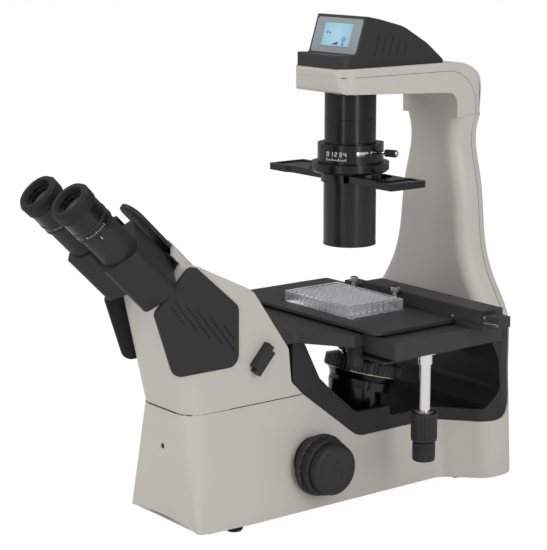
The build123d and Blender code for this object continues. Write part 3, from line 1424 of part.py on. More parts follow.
def x_drive_shaft():
    """Inner shaft of the X drive with its wire pulley."""
    body = rod(INNER_SHAFT_RADIUS, (DRIVE_X, DRIVE_Y, X_KNOB_BOTTOM + 3), (DRIVE_X, DRIVE_Y, POCKET_TOP_Z - 1))
    pulley = turned([(0, 203), (10, 203), (8.5, 205), (10, 207), (0, 207)])
    return body + (Pos(DRIVE_X, DRIVE_Y, 0) * pulley)


def x_knob():
    """Lower knob, which moves the table sideways."""
    high = Y_KNOB_BOTTOM - 1.2
    body = knob(X_KNOB_RADIUS, X_KNOB_BOTTOM, high, 0, 18)
    return body - rod(INNER_SHAFT_RADIUS, (DRIVE_X, DRIVE_Y, X_KNOB_BOTTOM + 3), (DRIVE_X, DRIVE_Y, 220))


def idler_gear():
    """Idler between the Y shaft and the rack, with its small upper pinion."""
    wheel = gear(IDLER_TEETH, GEAR_MODULE, GEAR_LOW_Z, GEAR_HIGH_Z, 0)
    high = TABLE_TOP_Z - TABLE_THICK - AIR
    pinion = gear(RACK_PINION_TEETH, GEAR_MODULE, SLAB_TOP_Z + AIR, high, 0)
    shaft = rod(IDLER_SHAFT_RADIUS, (0, 0, DRIVE_PLATE_LOW), (0, 0, high))
    return Pos(IDLER_X, DRIVE_Y, 0) * (wheel + pinion + shaft)


# Electrical parts

def power_inlet():
    """Three-pin mains inlet in the back."""
    half = (INLET_HALF[0] - SEAT, INLET_HALF[1] - SEAT)
    z = REAR_PORT_Z
    body = block((INLET_X - half[0], INLET_X + half[0]), (REAR_Y - 22, REAR_Y + 2), (z - half[1], z + half[1]))
    socket = prism_z([(-10.5, -7), (10.5, -7), (10.5, 4), (7, 7.5), (-7, 7.5), (-10.5, 4)], 0, 16)
    place = Plane(origin=(INLET_X, REAR_Y + 3, z), x_dir=(-1, 0, 0), z_dir=(0, -1, 0))
    body = body - place * socket
    for x, up in ((-6.5, -1.5), (0, 3.0), (6.5, -1.5)):
        pin = block((INLET_X + x - 1, INLET_X + x + 1), (REAR_Y - 14, REAR_Y - 1), (z + up - 2, z + up + 2))
        body = body + pin
    return body


def switch_frame():
    """Frame of the power switch in the back."""
    half = (SWITCH_HALF[0] - SEAT, SWITCH_HALF[1] - SEAT)
    z = REAR_PORT_Z
    body = block((SWITCH_X - half[0], SWITCH_X + half[0]), (REAR_Y - 16, REAR_Y + 1), (z - half[1], z + half[1]))
    return body - block((SWITCH_X - 5.2, SWITCH_X + 5.2), (REAR_Y - 12, REAR_Y + 2), (z - 8.7, z + 8.7))


ROCKER_TILT = 9.0


def power_rocker():
    """Rocker of the power switch, resting in the on position."""
    cam = [(-4.0, -8.0), (3.0, -8.0), (2.0, 0.0), (3.0, 8.0), (-4.0, 8.0), (-6.0, 0.0)]
    body = prism_x(cam, -5.0, 5.0)
    return Pos(SWITCH_X, REAR_Y - 1, REAR_PORT_Z) * Rot(-ROCKER_TILT, 0, 0) * body


def power_supply():
    """Power supply board and box on the bottom plate."""
    low = BASE_BOTTOM + 2.5
    box = block((-45, 35), (105, 150), (low, low + 30))
    legs = block((-50, 40), (100, 155), (low, low + 3))
    return box + legs


def power_led():
    """Small round lamp in the front face."""
    return rod(LED_RADIUS - 0.05, (0, FRONT_Y - 0.6, LED_Z), (0, FRONT_Y + 8, LED_Z))


NODES = {
    "base_housing": base_housing(),
    "base_plate": [base_plate(), mirror_mount()],
    "foot_pads": foot_pads(),
    "window_casting": window_casting(),
    "front_housing": front_housing(),
    "side_grips": [grip_pad(), mirrored(grip_pad())],
    "lower_mirror": lower_mirror(),
    "light_tubes": [light_tube_lower(), light_tube_upper()],
    "fixed_lenses": [tube_lens(), collector_lens(), condenser_lens()],
    "splitter_box": splitter_box(),
    "beam_splitter": beam_splitter(),
    "camera_port": camera_port(),
    "path_lever": path_lever(),
    "head_base": head_base(),
    "right_arm": prism_arm(1),
    "left_arm": prism_arm(-1),
    "right_diopter_ring": diopter_ring(1),
    "left_diopter_ring": diopter_ring(-1),
    "right_eyepiece": eyepiece(1),
    "left_eyepiece": eyepiece(-1),
    "right_eye_lens": eye_lens(1),
    "left_eye_lens": eye_lens(-1),
    "right_eyecup": eyecup(1),
    "left_eyecup": eyecup(-1),
    "pillar_and_arm": pillar_and_arm(),
    "back_cover": back_cover(),
    "console_housing": console_housing(),
    "screen_bezel": screen_bezel(),
    "touch_screen": touch_screen(),
    "control_board": control_board(),
    "lamp_tube": lamp_tube_seated(),
    "lamp_module": lamp_module(),
    "aperture_housing": aperture_housing(),
    "aperture_lever": aperture_lever(),
    "condenser_flange": condenser_flange(),
    "condenser_tube": condenser_tube(),
    "phase_slider": phase_slider(),
    "phase_rings": phase_rings(),
    "focus_bearings": [focus_bearing(), mirrored(focus_bearing())],
    "coarse_drive": coarse_shaft() + coarse_knob() + mirrored(coarse_knob()),
    "fine_drive": fine_shaft() + fine_knob() + mirrored(fine_knob()),
    "focus_carriage": focus_carriage(),
    "guide_rods": guide_rods(),
    "turret": turret(),
    "objectives": [objective(index) for index in range(OBJECTIVES)],
    "stage_slab": stage_slab(),
    "stage_underplates": [drive_plate()] + stage_posts(),
    "drive_collar": drive_collar(),
    "y_drive": y_drive_shaft() + y_knob(),
    "x_drive": x_drive_shaft() + x_knob(),
    "idler_gear": idler_gear(),
    "y_rail": y_rail(),
    "slide_bar": slide_bar(),
    "table_plate": table_plate(),
    "clamp_screws": clamp_screws(),
    "well_plate": well_plate(),
    "power_inlet": [power_inlet(), switch_frame()],
    "power_rocker": power_rocker(),
    "power_supply": power_supply(),
    "power_led": power_led(),
}


def as_compound(shape):
    """One compound per node, whether the node is one solid or a group."""
    pieces = shape if isinstance(shape, list) else [shape]
    solids = [solid for piece in pieces for solid in piece.solids()]
    return Compound(children=solids) if len(solids) > 1 else solids[0]


def footprint_centre(shapes):
    """Centre of the whole assembly's box in plan."""
    boxes = [shape.bounding_box() for shape in shapes]
    low = [min(box.min.X for box in boxes), min(box.min.Y for box in boxes)]
    high = [max(box.max.X for box in boxes), max(box.max.Y for box in boxes)]
    return (low[0] + high[0]) / 2, (low[1] + high[1]) / 2


shapes = {name: as_compound(shape) for name, shape in NODES.items()}
centre_x, centre_y = footprint_centre(shapes.values())
for name, shape in shapes.items():
    export_step(Pos(-centre_x, -centre_y, 0) * shape, f"parts/{name}.step")
print(f"shift {-centre_x:.4f} {-centre_y:.4f}  nodes {len(shapes)}")
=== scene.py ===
"""Finishes, markings and small fittings of an inverted laboratory microscope.

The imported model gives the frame. Sizes here are in millimetres in the stand's own frame:
the optical axis is Z, the table is z = 0, the operator sits at -Y and +X is the operator's
right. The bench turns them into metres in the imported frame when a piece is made.
"""

from __future__ import annotations

import json
import logging
import math
from collections.abc import Iterable, Mapping, Sequence
from dataclasses import dataclass, field
from enum import Enum
from typing import Union

import bmesh
import bpy
from mathutils import Matrix, Vector
from mathutils.bvhtree import BVHTree

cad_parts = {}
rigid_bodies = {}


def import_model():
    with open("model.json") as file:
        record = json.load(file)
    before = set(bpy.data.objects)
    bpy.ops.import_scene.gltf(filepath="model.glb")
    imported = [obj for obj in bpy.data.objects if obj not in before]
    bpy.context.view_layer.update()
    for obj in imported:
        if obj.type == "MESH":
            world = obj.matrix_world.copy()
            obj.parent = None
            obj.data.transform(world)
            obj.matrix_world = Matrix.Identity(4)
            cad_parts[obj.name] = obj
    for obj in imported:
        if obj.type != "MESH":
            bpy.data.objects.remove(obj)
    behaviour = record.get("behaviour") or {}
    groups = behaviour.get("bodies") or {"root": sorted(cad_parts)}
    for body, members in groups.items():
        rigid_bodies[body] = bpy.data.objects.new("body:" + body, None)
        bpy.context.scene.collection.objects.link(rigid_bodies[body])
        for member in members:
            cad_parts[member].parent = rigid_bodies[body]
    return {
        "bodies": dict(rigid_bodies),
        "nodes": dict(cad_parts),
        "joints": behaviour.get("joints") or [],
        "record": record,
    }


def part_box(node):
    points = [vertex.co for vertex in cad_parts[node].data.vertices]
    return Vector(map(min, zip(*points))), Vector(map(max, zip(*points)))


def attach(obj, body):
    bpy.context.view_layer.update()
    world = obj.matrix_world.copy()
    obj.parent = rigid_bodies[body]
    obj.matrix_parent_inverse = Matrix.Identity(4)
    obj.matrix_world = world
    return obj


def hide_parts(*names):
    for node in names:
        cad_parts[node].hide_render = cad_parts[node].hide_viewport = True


LOG = logging.getLogger("microscope")
MM = 0.001
INK = 0.06
Pair = tuple[float, float]
Key = Union[str, int]
Value = Union["Signal", float, tuple[float, ...]]


def linear(channel: float) -> float:
    """Linear light of one display channel from 0 to 255."""
    share = channel / 255.0
    return share / 12.92 if share <= 0.04045 else ((share + 0.055) / 1.055) ** 2.4


@dataclass(frozen=True)
class Shade:
    """A colour as it is seen on a display, 0 to 255 for each channel."""

    red: float
    green: float
    blue: float

    def rgba(self, gain: float = 1.0) -> tuple[float, float, float, float]:
        """Linear colour for a shader, made lighter or darker by a gain.

        Args:
            gain: factor on the linear colour.

        Returns:
            Red, green, blue and 1.
        """
        return (
            min(linear(self.red) * gain, 1.0),
            min(linear(self.green) * gain, 1.0),
            min(linear(self.blue) * gain, 1.0),
            1.0,
        )


class Signal:
    """An output socket that can be used in arithmetic; each operation adds a Math node."""

    def __init__(self, graph: Graph, socket: bpy.types.NodeSocket) -> None:
        """Wraps an output socket of a graph."""
        self.graph = graph
        self.socket = socket

    def output(self, key: str) -> Signal:
        """Another output of the same node."""
        return Signal(self.graph, find_socket(self.socket.node.outputs, key))

    def _math(self, operation: str, first: Value, second: Value) -> Signal:
        """Adds one Math node.

        Args:
            operation: the node's operation.
            first: value or link of the first socket.
            second: value or link of the second socket.

        Returns:
            The node's result.
        """
        return self.graph.node("ShaderNodeMath", {"operation": operation}, {0: first, 1: second})

    def __add__(self, other: Value) -> Signal:
        """Sum."""
        return self._math("ADD", self, other)

    def __radd__(self, other: Value) -> Signal:
        """Sum with a number on the left."""
        return self._math("ADD", other, self)

    def __sub__(self, other: Value) -> Signal:
        """Difference."""
        return self._math("SUBTRACT", self, other)

    def __rsub__(self, other: Value) -> Signal:
        """Difference from a number."""
        return self._math("SUBTRACT", other, self)

    def __mul__(self, other: Value) -> Signal:
        """Product."""
        return self._math("MULTIPLY", self, other)

    def __rmul__(self, other: Value) -> Signal:
        """Product with a number on the left."""
        return self._math("MULTIPLY", other, self)

    def __truediv__(self, other: Value) -> Signal:
        """Quotient."""
        return self._math("DIVIDE", self, other)

    def __rtruediv__(self, other: Value) -> Signal:
        """Quotient of a number."""
        return self._math("DIVIDE", other, self)

    def __gt__(self, other: Value) -> Signal:
        """1 where this is greater, 0 elsewhere."""
        return self._math("GREATER_THAN", self, other)

    def wave(self) -> Signal:
        """Sine of the signal, in radians."""
        return self._math("SINE", self, 0.0)

    def largest(self, other: Value) -> Signal:
        """The larger of two signals."""
        return self._math("MAXIMUM", self, other)


def find_socket(sockets: Iterable[bpy.types.NodeSocket], key: Key) -> bpy.types.NodeSocket:
    """Finds a socket by number, identifier or name.

    Args:
        sockets: a node's inputs or outputs.
        key: its number, identifier or name.

    Returns:
        The socket.
    """
    if isinstance(key, int):
        return list(sockets)[key]
    named = [s for s in sockets if key in (s.identifier, s.name)]
    live = [s for s in named if s.enabled]
    return (live or named)[0]


class Graph:
    """Node tree of a material or a world, filled from an empty start."""

    def __init__(self, owner: bpy.types.Material | bpy.types.World) -> None:
        """Empties the owner's node tree.

        Args:
            owner: the material or the world.
        """
        owner.use_nodes = True
        self.tree = owner.node_tree
        self.tree.nodes.clear()

    def node(
        self,
        kind: str,
        settings: Mapping[str, object] | None = None,
        inputs: Mapping[Key, Value] | None = None,
        output: Key = 0,
    ) -> Signal:
        """Adds a node.

        Args:
            kind: the node's type name.
            settings: its properties, and stops for a colour ramp; they are set first.
            inputs: values or links of its input sockets.
            output: the output that is returned.

        Returns:
            One of the node's outputs, or its first input for a node without outputs.
        """
        made = self.tree.nodes.new(kind)
        for key, value in (settings or {}).items():
            if key == "stops":
                self._stops(made.color_ramp, value)
            else:
                setattr(made, key, value)
        for key, value in (inputs or {}).items():
            socket = find_socket(made.inputs, key)
            if isinstance(value, Signal):
                self.tree.links.new(value.socket, socket)
            else:
                socket.default_value = value
        return Signal(self, find_socket(made.outputs, output) if len(made.outputs) else made.inputs[0])

    @staticmethod
    def _stops(ramp: bpy.types.ColorRamp, stops: Sequence[tuple[float, tuple[float, ...]]]) -> None:
        """Sets the stops of a colour ramp.

        Args:
            ramp: the ramp of a node.
            stops: position and colour of each stop.
        """
        while len(ramp.elements) < len(stops):
            ramp.elements.new(1.0)
        for element, (position, colour) in zip(ramp.elements, stops):
            element.position = position
            element.color = colour

    def place(self) -> Signal:
        """Coordinates on the object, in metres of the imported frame."""
        return self.node("ShaderNodeTexCoord", output="Object")

    def parts(self, vector: Signal) -> Signal:
        """The three parts of a vector; the first output is X."""
        return self.node("ShaderNodeSeparateXYZ", None, {"Vector": vector})

    def seen(self) -> Signal:
        """1 for rays from the camera and through clear parts, 0 for light and reflections."""
        rays = self.node("ShaderNodeLightPath", output="Is Camera Ray")
        return rays.largest(rays.output("Is Transmission Ray"))

    def noise(self, scale: float, detail: float = 2.0, where: Signal | None = None) -> Signal:
        """Smooth noise from 0 to 1.

        Args:
            scale: features per metre.
            detail: number of finer layers.
            where: coordinates, or the object's own.

        Returns:
            The noise value.
        """
        spot = where or self.place()
        inputs = {"Vector": spot, "Scale": scale, "Detail": detail}
        return self.node("ShaderNodeTexNoise", None, inputs, "Fac")

    def stretched(self, scale: Vector) -> Signal:
        """Object coordinates stretched by a factor along each axis."""
        inputs = {0: self.place(), 1: tuple(scale)}
        return self.node("ShaderNodeVectorMath", {"operation": "MULTIPLY"}, inputs)

    def mixed(self, share: Value, first: Value, second: Value) -> Signal:
        """Colour between two colours.

        Args:
            share: share of the second colour.
            first: the first colour.
            second: the second colour.

        Returns:
            The colour between.
        """
        return self.node("ShaderNodeMix", {"data_type": "RGBA"}, {
            "Factor_Float": share, "A_Color": first, "B_Color": second,
        }, "Result_Color")

    def bump(self, height: Signal, distance: float, strength: float, rounding: float = 0.0) -> Signal:
        """Surface relief.

        Args:
            height: relief from 0 to 1.
            distance: full height in metres.
            strength: share of the relief that shows.
            rounding: radius in metres to which sharp edges are softened, 0 for none.

        Returns:
            The normal to give to a shader.
        """
        inputs: dict[Key, Value] = {"Height": height, "Distance": distance, "Strength": strength}
        if rounding > 0:
            inputs["Normal"] = self.node("ShaderNodeBevel", {"samples": 4}, {"Radius": rounding})
        return self.node("ShaderNodeBump", None, inputs)

    def surface(self, shader: Signal) -> None:
        """Ends a material with a shader."""
        self.node("ShaderNodeOutputMaterial", None, {"Surface": shader})


@dataclass(frozen=True)
class Finish:
    """A finish of one of the record's slots: the parts that all finishes share."""

    slot: str
    shade: Shade
    roughness: float = 0.5
    metallic: float = 0.0
    rounding: float = 0.0

    def dress(self, graph: Graph) -> None:
        """Builds the finish in an empty material."""
        graph.surface(self.shader(graph))

    def shader(self, graph: Graph) -> Signal:
        """Principled shader with a little change of tone and gloss over the surface.

        Args:
            graph: the material's node tree.

        Returns:
            The shader.
        """
        cloud = graph.noise(18.0, 3.0)
        return self.principled(graph, {
            "Base Color": graph.mixed(cloud, self.shade.rgba(0.93), self.shade.rgba(1.05)),
            "Roughness": cloud * 0.08 + (self.roughness - 0.04),
            "Normal": graph.bump(graph.noise(900.0), 0.00003, 0.3, self.rounding),
        })

    def principled(self, graph: Graph, inputs: dict[Key, Value]) -> Signal:
        """Adds the principled shader, with this finish's metallic value."""
        return graph.node("ShaderNodeBsdfPrincipled", None, {"Metallic": self.metallic, **inputs})


@dataclass(frozen=True)
class SatinPaint(Finish):
    """Fine satin lacquer on a moulded cover, with faint orange peel and handling marks."""

    peel: float = 1700.0

    def shader(self, graph: Graph) -> Signal:
        """Lacquer with soft clouds, peel and slightly polished patches.

        Args:
            graph: the material's node tree.

        Returns:
            The shader.
        """
        cloud = graph.noise(9.0, 4.0)
        speck = graph.noise(5200.0, 1.0)
        tone = graph.mixed(cloud, self.shade.rgba(0.965), self.shade.rgba(1.02))
        tone = graph.mixed((speck > 0.66) * 0.10, tone, self.shade.rgba(0.86))
        relief = graph.noise(self.peel, 2.0) * 0.8 + speck * 0.2
        return self.principled(graph, {
            "Base Color": tone,
            "Roughness": graph.noise(26.0, 3.0) * 0.14 + (self.roughness - 0.07),
            "Specular IOR Level": 0.42,
            "Coat Weight": 0.10,
            "Coat Roughness": 0.35,
            "Normal": graph.bump(relief, 0.000035, 0.30, self.rounding),
        })


@dataclass(frozen=True)
class TexturedPaint(Finish):
    """Powder coat with a fine pebbled grain on castings and plates."""

    grain: float = 1500.0
    relief: float = 0.00009

    def shader(self, graph: Graph) -> Signal:
        """Pebbled coat whose tops are painted a little lighter and whose dips darker, as painted highlight
        and shade of the grain; the tops are also glossier.

        Args:
            graph: the material's node tree.

        Returns:
            The shader.
        """
        grain = graph.noise(self.grain, 3.0)
        cloud = graph.noise(14.0, 3.0)
        # Tone follows the pebbles' height: painted highlight on their tops, painted shade in the dips.
        tone = graph.mixed(grain, self.shade.rgba(0.78), self.shade.rgba(1.32))
        tone = graph.mixed(cloud * 0.3, tone, self.shade.rgba(1.25))
        return self.principled(graph, {
            "Base Color": tone,
            "Roughness": (1.0 - grain) * 0.16 + (self.roughness - 0.08),
            "Specular IOR Level": 0.45,
            "Normal": graph.bump(grain, self.relief, 0.45, self.rounding),
        })


@dataclass(frozen=True)
class TurnedMetal(Finish):
    """Turned or ground metal with fine lines round the upright axis."""

    lines: float = 4200.0
    line_depth: float = 0.000012
    wear: float = 0.06

    def shader(self, graph: Graph) -> Signal:
        """Lathe lines, with the gloss varying from band to band.

        Args:
            graph: the material's node tree.

        Returns:
            The shader.
        """
        turning = graph.noise(1.0, 2.0, graph.stretched(Vector((90.0, 90.0, self.lines))))
        smudge = graph.noise(45.0, 3.0)
        tone = graph.mixed(turning, self.shade.rgba(1.0 - self.wear), self.shade.rgba(1.0 + self.wear))
        return self.principled(graph, {
            "Base Color": tone,
            "Roughness": smudge * 0.10 + turning * 0.06 + (self.roughness - 0.08),
            "Normal": graph.bump(turning, self.line_depth, 0.35, self.rounding),
        })


@dataclass(frozen=True)
class MouldedPlastic(Finish):
    """Injection-moulded plastic with a spark-eroded grain."""

    grain: float = 2100.0

    def shader(self, graph: Graph) -> Signal:
        """Even fine grain with faint shiny rubbed patches.

        Args:
            graph: the material's node tree.

        Returns:
            The shader.
        """
        grain = graph.noise(self.grain, 2.0)
        rubbed = graph.noise(22.0, 2.0)
        return self.principled(graph, {
            "Base Color": graph.mixed(grain, self.shade.rgba(0.84), self.shade.rgba(1.18)),
            "Roughness": rubbed * 0.14 + (self.roughness - 0.07),
            "Specular IOR Level": 0.45,
            "Normal": graph.bump(grain, 0.00005, 0.35, self.rounding),
        })


@dataclass(frozen=True)
class RibbedRubber(Finish):
    """Soft rubber with fine slanted ribs moulded into its face."""

    pitch: float = 1.5
    slant: float = 125.7

    def shader(self, graph: Graph) -> Signal:
        """Fine ribs in the side view, painted lighter on their tops and darker in the grooves as painted
        highlight and shade, with a faint dusty bloom all over.

        Args:
            graph: the material's node tree.

        Returns:
            The shader.
        """
        spot = graph.parts(graph.place())
        slope = math.radians(self.slant)
        across = spot.output("Y") * math.cos(slope) + spot.output("Z") * math.sin(slope)
        rib = (across * (2 * math.pi / (self.pitch * MM))).wave() * 0.5 + 0.5
        grain = graph.noise(1800.0, 2.0)
        # Rib tops lighter and grooves darker: painted highlight and painted shade that follow the ribs.
        tone = graph.mixed(rib * 0.7, self.shade.rgba(0.62), self.shade.rgba(1.25))
        return self.principled(graph, {
            "Base Color": graph.mixed(grain * 0.3, tone, self.shade.rgba(1.4)),
            "Roughness": grain * 0.12 + (self.roughness - 0.06),
            "Specular IOR Level": 0.35,
            "Normal": graph.bump(rib * 0.8 + grain * 0.2, 0.00035, 0.55, self.rounding),
        })


@dataclass(frozen=True)
class ClearMaterial(Finish):
    """Clear glass or polystyrene with a share of white scatter."""

    clearness: float = 1.0
    index: float = 1.5

    def shader(self, graph: Graph) -> Signal:
        """Clear body with faint moulding flow in its gloss.

        Args:
            graph: the material's node tree.

        Returns:
            The shader.
        """
        flow = graph.noise(70.0, 3.0)
        return self.principled(graph, {
            "Base Color": graph.mixed(flow, self.shade.rgba(0.97), self.shade.rgba(1.02)),
            "Roughness": flow * 0.05 + max(self.roughness - 0.02, 0.0),
            "IOR": self.index,
            "Transmission Weight": self.clearness,
            "Coat Weight": 0.2,
            "Coat Roughness": 0.05,
            "Normal": graph.bump(flow, 0.00005, 0.25),
        })


@dataclass(frozen=True)
class LitScreen(Finish):
    """Lit display under glass: pale in the middle, deeper in tone towards its edges."""

    middle: Vector = field(default_factory=Vector)
    reach: float = 0.03

    def shader(self, graph: Graph) -> Signal:
        """Backlight that falls off from the middle, with a faint row pattern.

        Args:
            graph: the material's node tree.

        Returns:
            The shader.
        """
        away = graph.node("ShaderNodeVectorMath", {"operation": "DISTANCE"}, {
            0: graph.place(), 1: tuple(self.middle),
        }, "Value")
        spot = graph.parts(graph.place())
        rows = (spot.output("Z") * 9000.0).wave() * 0.02
        share = away / self.reach + rows
        glow = graph.node("ShaderNodeValToRGB", {"stops": [
            (0.0, Shade(186, 226, 242).rgba()),
            (0.7, self.shade.rgba()),
            (1.0, Shade(128, 186, 216).rgba()),
        ]}, {"Fac": share}, "Color")
        return self.principled(graph, {
            "Base Color": (0.01, 0.012, 0.014, 1.0),
            "Roughness": graph.noise(60.0) * 0.04 + 0.05,
            "Emission Color": glow,
            "Emission Strength": 0.82,
        })


@dataclass(frozen=True)
class CircuitGreen(Finish):
    """Solder mask over copper tracks."""

    def shader(self, graph: Graph) -> Signal:
        """Green board with lighter tracks.

        Args:
            graph: the material's node tree.

        Returns:
            The shader.
        """
        tracks = graph.node("ShaderNodeTexBrick", {"offset": 0.37}, {
            "Vector": graph.place(), "Scale": 160.0, "Mortar Size": 0.03,
        }, "Fac")
        return self.principled(graph, {
            "Base Color": graph.mixed(tracks, self.shade.rgba(), self.shade.rgba(1.9)),
            "Roughness": tracks * 0.1 + 0.3,
            "Normal": graph.bump(tracks, 0.00003, 0.5),
        })


class Coat(Enum):
    """Finishes of the microscope, each with the record's slot that it belongs to."""

    GREY_PAINT = SatinPaint("light_grey_paint", Shade(190, 188, 181), 0.46, rounding=0.0009)
    BLACK_PAINT = TexturedPaint("black_paint", Shade(28, 28, 29), 0.56, rounding=0.0006)
    STAGE_PAINT = TexturedPaint("black_paint", Shade(42, 42, 43), 0.52, rounding=0.0005, grain=2200.0)
    ANODISED = TurnedMetal("black_anodised", Shade(9, 9, 10), 0.21, 0.05, rounding=0.0004, wear=0.14)
    DARK_PLASTIC = MouldedPlastic("dark_plastic", Shade(36, 36, 37), 0.52, rounding=0.0009)
    GRIP_RUBBER = RibbedRubber("grip_rubber", Shade(42, 42, 43), 0.62, rounding=0.0009)
    CUP_RUBBER = MouldedPlastic("grip_rubber", Shade(14, 14, 15), 0.66, rounding=0.0007, grain=1300.0)
    KNOB_PLASTIC = MouldedPlastic("knob_plastic", Shade(32, 32, 33), 0.44, rounding=0.0005)
    GREY_PLASTIC = MouldedPlastic("grey_plastic", Shade(140, 146, 151), 0.40, rounding=0.0006)
    STEEL = TurnedMetal("steel", Shade(188, 184, 174), 0.30, 1.0, rounding=0.0002)
    CHROME = TurnedMetal("chrome", Shade(226, 226, 228), 0.14, 1.0, rounding=0.0002, wear=0.03)
    ALUMINIUM = TurnedMetal("aluminium", Shade(196, 198, 200), 0.34, 1.0, rounding=0.0003)
    LENS_GLASS = ClearMaterial("lens_glass", Shade(222, 232, 240), 0.03, clearness=1.0, index=1.52)
    MIRROR = TurnedMetal("mirror", Shade(240, 242, 244), 0.09, 1.0, line_depth=0.0, wear=0.01)
    SCREEN = LitScreen("screen_glass", Shade(160, 209, 232))
    BOARD = CircuitGreen("board_green", Shade(20, 84, 48))
    WELL_PLASTIC = ClearMaterial("well_plastic", Shade(250, 251, 252), 0.05, clearness=0.93, index=1.25)
    WELL_RIM = ClearMaterial("well_plastic", Shade(232, 234, 236), 0.20, clearness=0.25, index=1.45)
    LED_LENS = ClearMaterial("led_lens", Shade(36, 62, 48), 0.10, clearness=0.3, index=1.5)
    # Dark strip laid along the lower cover's seam: painted shade in the gap between the covers.
    GAP_SHADE = Finish("dark_plastic", Shade(28, 28, 27), 0.85)
    # Grey strip laid along the arm cover's seam: painted shade in the joint.
    SEAM = Finish("dark_plastic", Shade(104, 103, 99), 0.80)
    WHITE_INK = Finish("light_grey_paint", Shade(226, 226, 222), 0.55)
    SCREEN_INK = Finish("screen_glass", Shade(30, 66, 92), 0.30)
    BRASS = TurnedMetal("steel", Shade(206, 172, 104), 0.30, 1.0)
    YELLOW_BAND = Finish("knob_plastic", Shade(214, 176, 40), 0.40)
    GREEN_BAND = Finish("knob_plastic", Shade(48, 138, 76), 0.40)
    BLUE_BAND = Finish("knob_plastic", Shade(58, 118, 190), 0.40)
    RED_BAND = Finish("knob_plastic", Shade(178, 52, 44), 0.40)


NODE_COATS: dict[Coat, tuple[str, ...]] = {
    Coat.GREY_PAINT: ("base_housing", "front_housing", "pillar_and_arm", "back_cover"),
    Coat.BLACK_PAINT: ("window_casting", "stage_underplates", "head_base", "right_arm", "left_arm"),
    Coat.STAGE_PAINT: ("stage_slab", "table_plate", "y_rail", "slide_bar"),
    Coat.ANODISED: (
        "lamp_tube", "aperture_housing", "condenser_tube", "turret", "camera_port", "light_tubes",
        "right_eyepiece", "left_eyepiece", "right_diopter_ring", "left_diopter_ring", "splitter_box",
        "focus_bearings", "condenser_flange", "phase_slider", "focus_carriage",
    ),
    Coat.DARK_PLASTIC: ("console_housing", "path_lever", "power_inlet", "power_rocker", "power_supply"),
    Coat.GRIP_RUBBER: ("side_grips",),
    Coat.CUP_RUBBER: ("right_eyecup", "left_eyecup", "foot_pads"),
    Coat.KNOB_PLASTIC: ("coarse_drive", "fine_drive", "y_drive", "x_drive"),
    Coat.GREY_PLASTIC: ("screen_bezel",),
    Coat.STEEL: ("base_plate", "guide_rods", "idler_gear", "clamp_screws"),
    Coat.CHROME: ("drive_collar", "aperture_lever", "objectives"),
    Coat.ALUMINIUM: ("lamp_module",),
    Coat.LENS_GLASS: ("fixed_lenses", "right_eye_lens", "left_eye_lens", "beam_splitter", "phase_rings"),
    Coat.MIRROR: ("lower_mirror",),
    Coat.SCREEN: ("touch_screen",),
    Coat.BOARD: ("control_board",),
    Coat.WELL_PLASTIC: ("well_plate",),
    Coat.LED_LENS: ("power_led",),
}


@dataclass
class Shape:
    """A surface as plain vertices and faces, in millimetres."""

    vertices: list[Vector] = field(default_factory=list)
    faces: list[tuple[int, ...]] = field(default_factory=list)

    def add(self, other: Shape, place: Matrix | None = None) -> Shape:
        """Adds a copy of another shape.

        Args:
            other: the shape to add.
            place: frame that it is put in.

        Returns:
            This shape, grown.
        """
        start = len(self.vertices)
        frame = place or Matrix.Identity(4)
        self.vertices += [frame @ v for v in other.vertices]
        self.faces += [tuple(i + start for i in face) for face in other.faces]
        return self

    def moved(self, place: Matrix) -> Shape:
        """A copy of the shape in a frame."""
        return Shape().add(self, place)

    def wrapped(self, radius: float) -> Shape:
        """A copy bent round the z axis: x runs round the cylinder, y along it, z outwards.

        Args:
            radius: radius of the cylinder.

        Returns:
            The bent copy.
        """
        bent = []
        for v in self.vertices:
            angle = v.x / radius
            reach = radius + v.z
            bent.append(Vector((reach * math.sin(angle), -reach * math.cos(angle), v.y)))
        return Shape(bent, list(self.faces))


def frame_at(origin: Sequence[float], up: Sequence[float], side: Sequence[float] = (1, 0, 0)) -> Matrix:
    """Frame with its z axis along one direction and its x axis near another.

    Args:
        origin: the frame's origin.
        up: direction of z.
        side: direction that x is nearest to.

    Returns:
        The frame as a matrix.
    """
    z = Vector(up).normalized()
    x = (Vector(side) - z * Vector(side).dot(z)).normalized()
    y = z.cross(x)
    rotation = Matrix((x, y, z)).transposed().to_4x4()
    return Matrix.Translation(Vector(origin)) @ rotation


def at(x: float, y: float, z: float) -> Matrix:
    """Frame moved by three lengths."""
    return Matrix.Translation((x, y, z))


def spun(degrees: float) -> Matrix:
    """Frame turned about the z axis."""
    return Matrix.Rotation(math.radians(degrees), 4, "Z")


def direction(degrees: float) -> Vector:
    """Level unit vector at an angle from the x axis."""
    angle = math.radians(degrees)
    return Vector((math.cos(angle), math.sin(angle), 0))


def shares(count: int) -> list[float]:
    """Even steps from 0 to 1, both included."""
    return [index / (count - 1) for index in range(count)]


def between(start: float, end: float, share: float) -> float:
    """Value at a share of the way from start to end."""
    return start + (end - start) * share


def rings(sections: Sequence[Sequence[Vector]], closed: bool = True) -> Shape:
    """Skin over rings of points that all have the same number.

    Args:
        sections: the rings, in order.
        closed: whether the last ring joins the first.

    Returns:
        The skin.
    """
    shape = Shape([v.copy() for ring in sections for v in ring])
    count = len(sections[0])
    spans = len(sections) if closed else len(sections) - 1
    for ring in range(spans):
        after = (ring + 1) % len(sections)
        for index in range(count):
            step = (index + 1) % count
            here, there = ring * count, after * count
            shape.faces.append((here + index, here + step, there + step, there + index))
    return shape


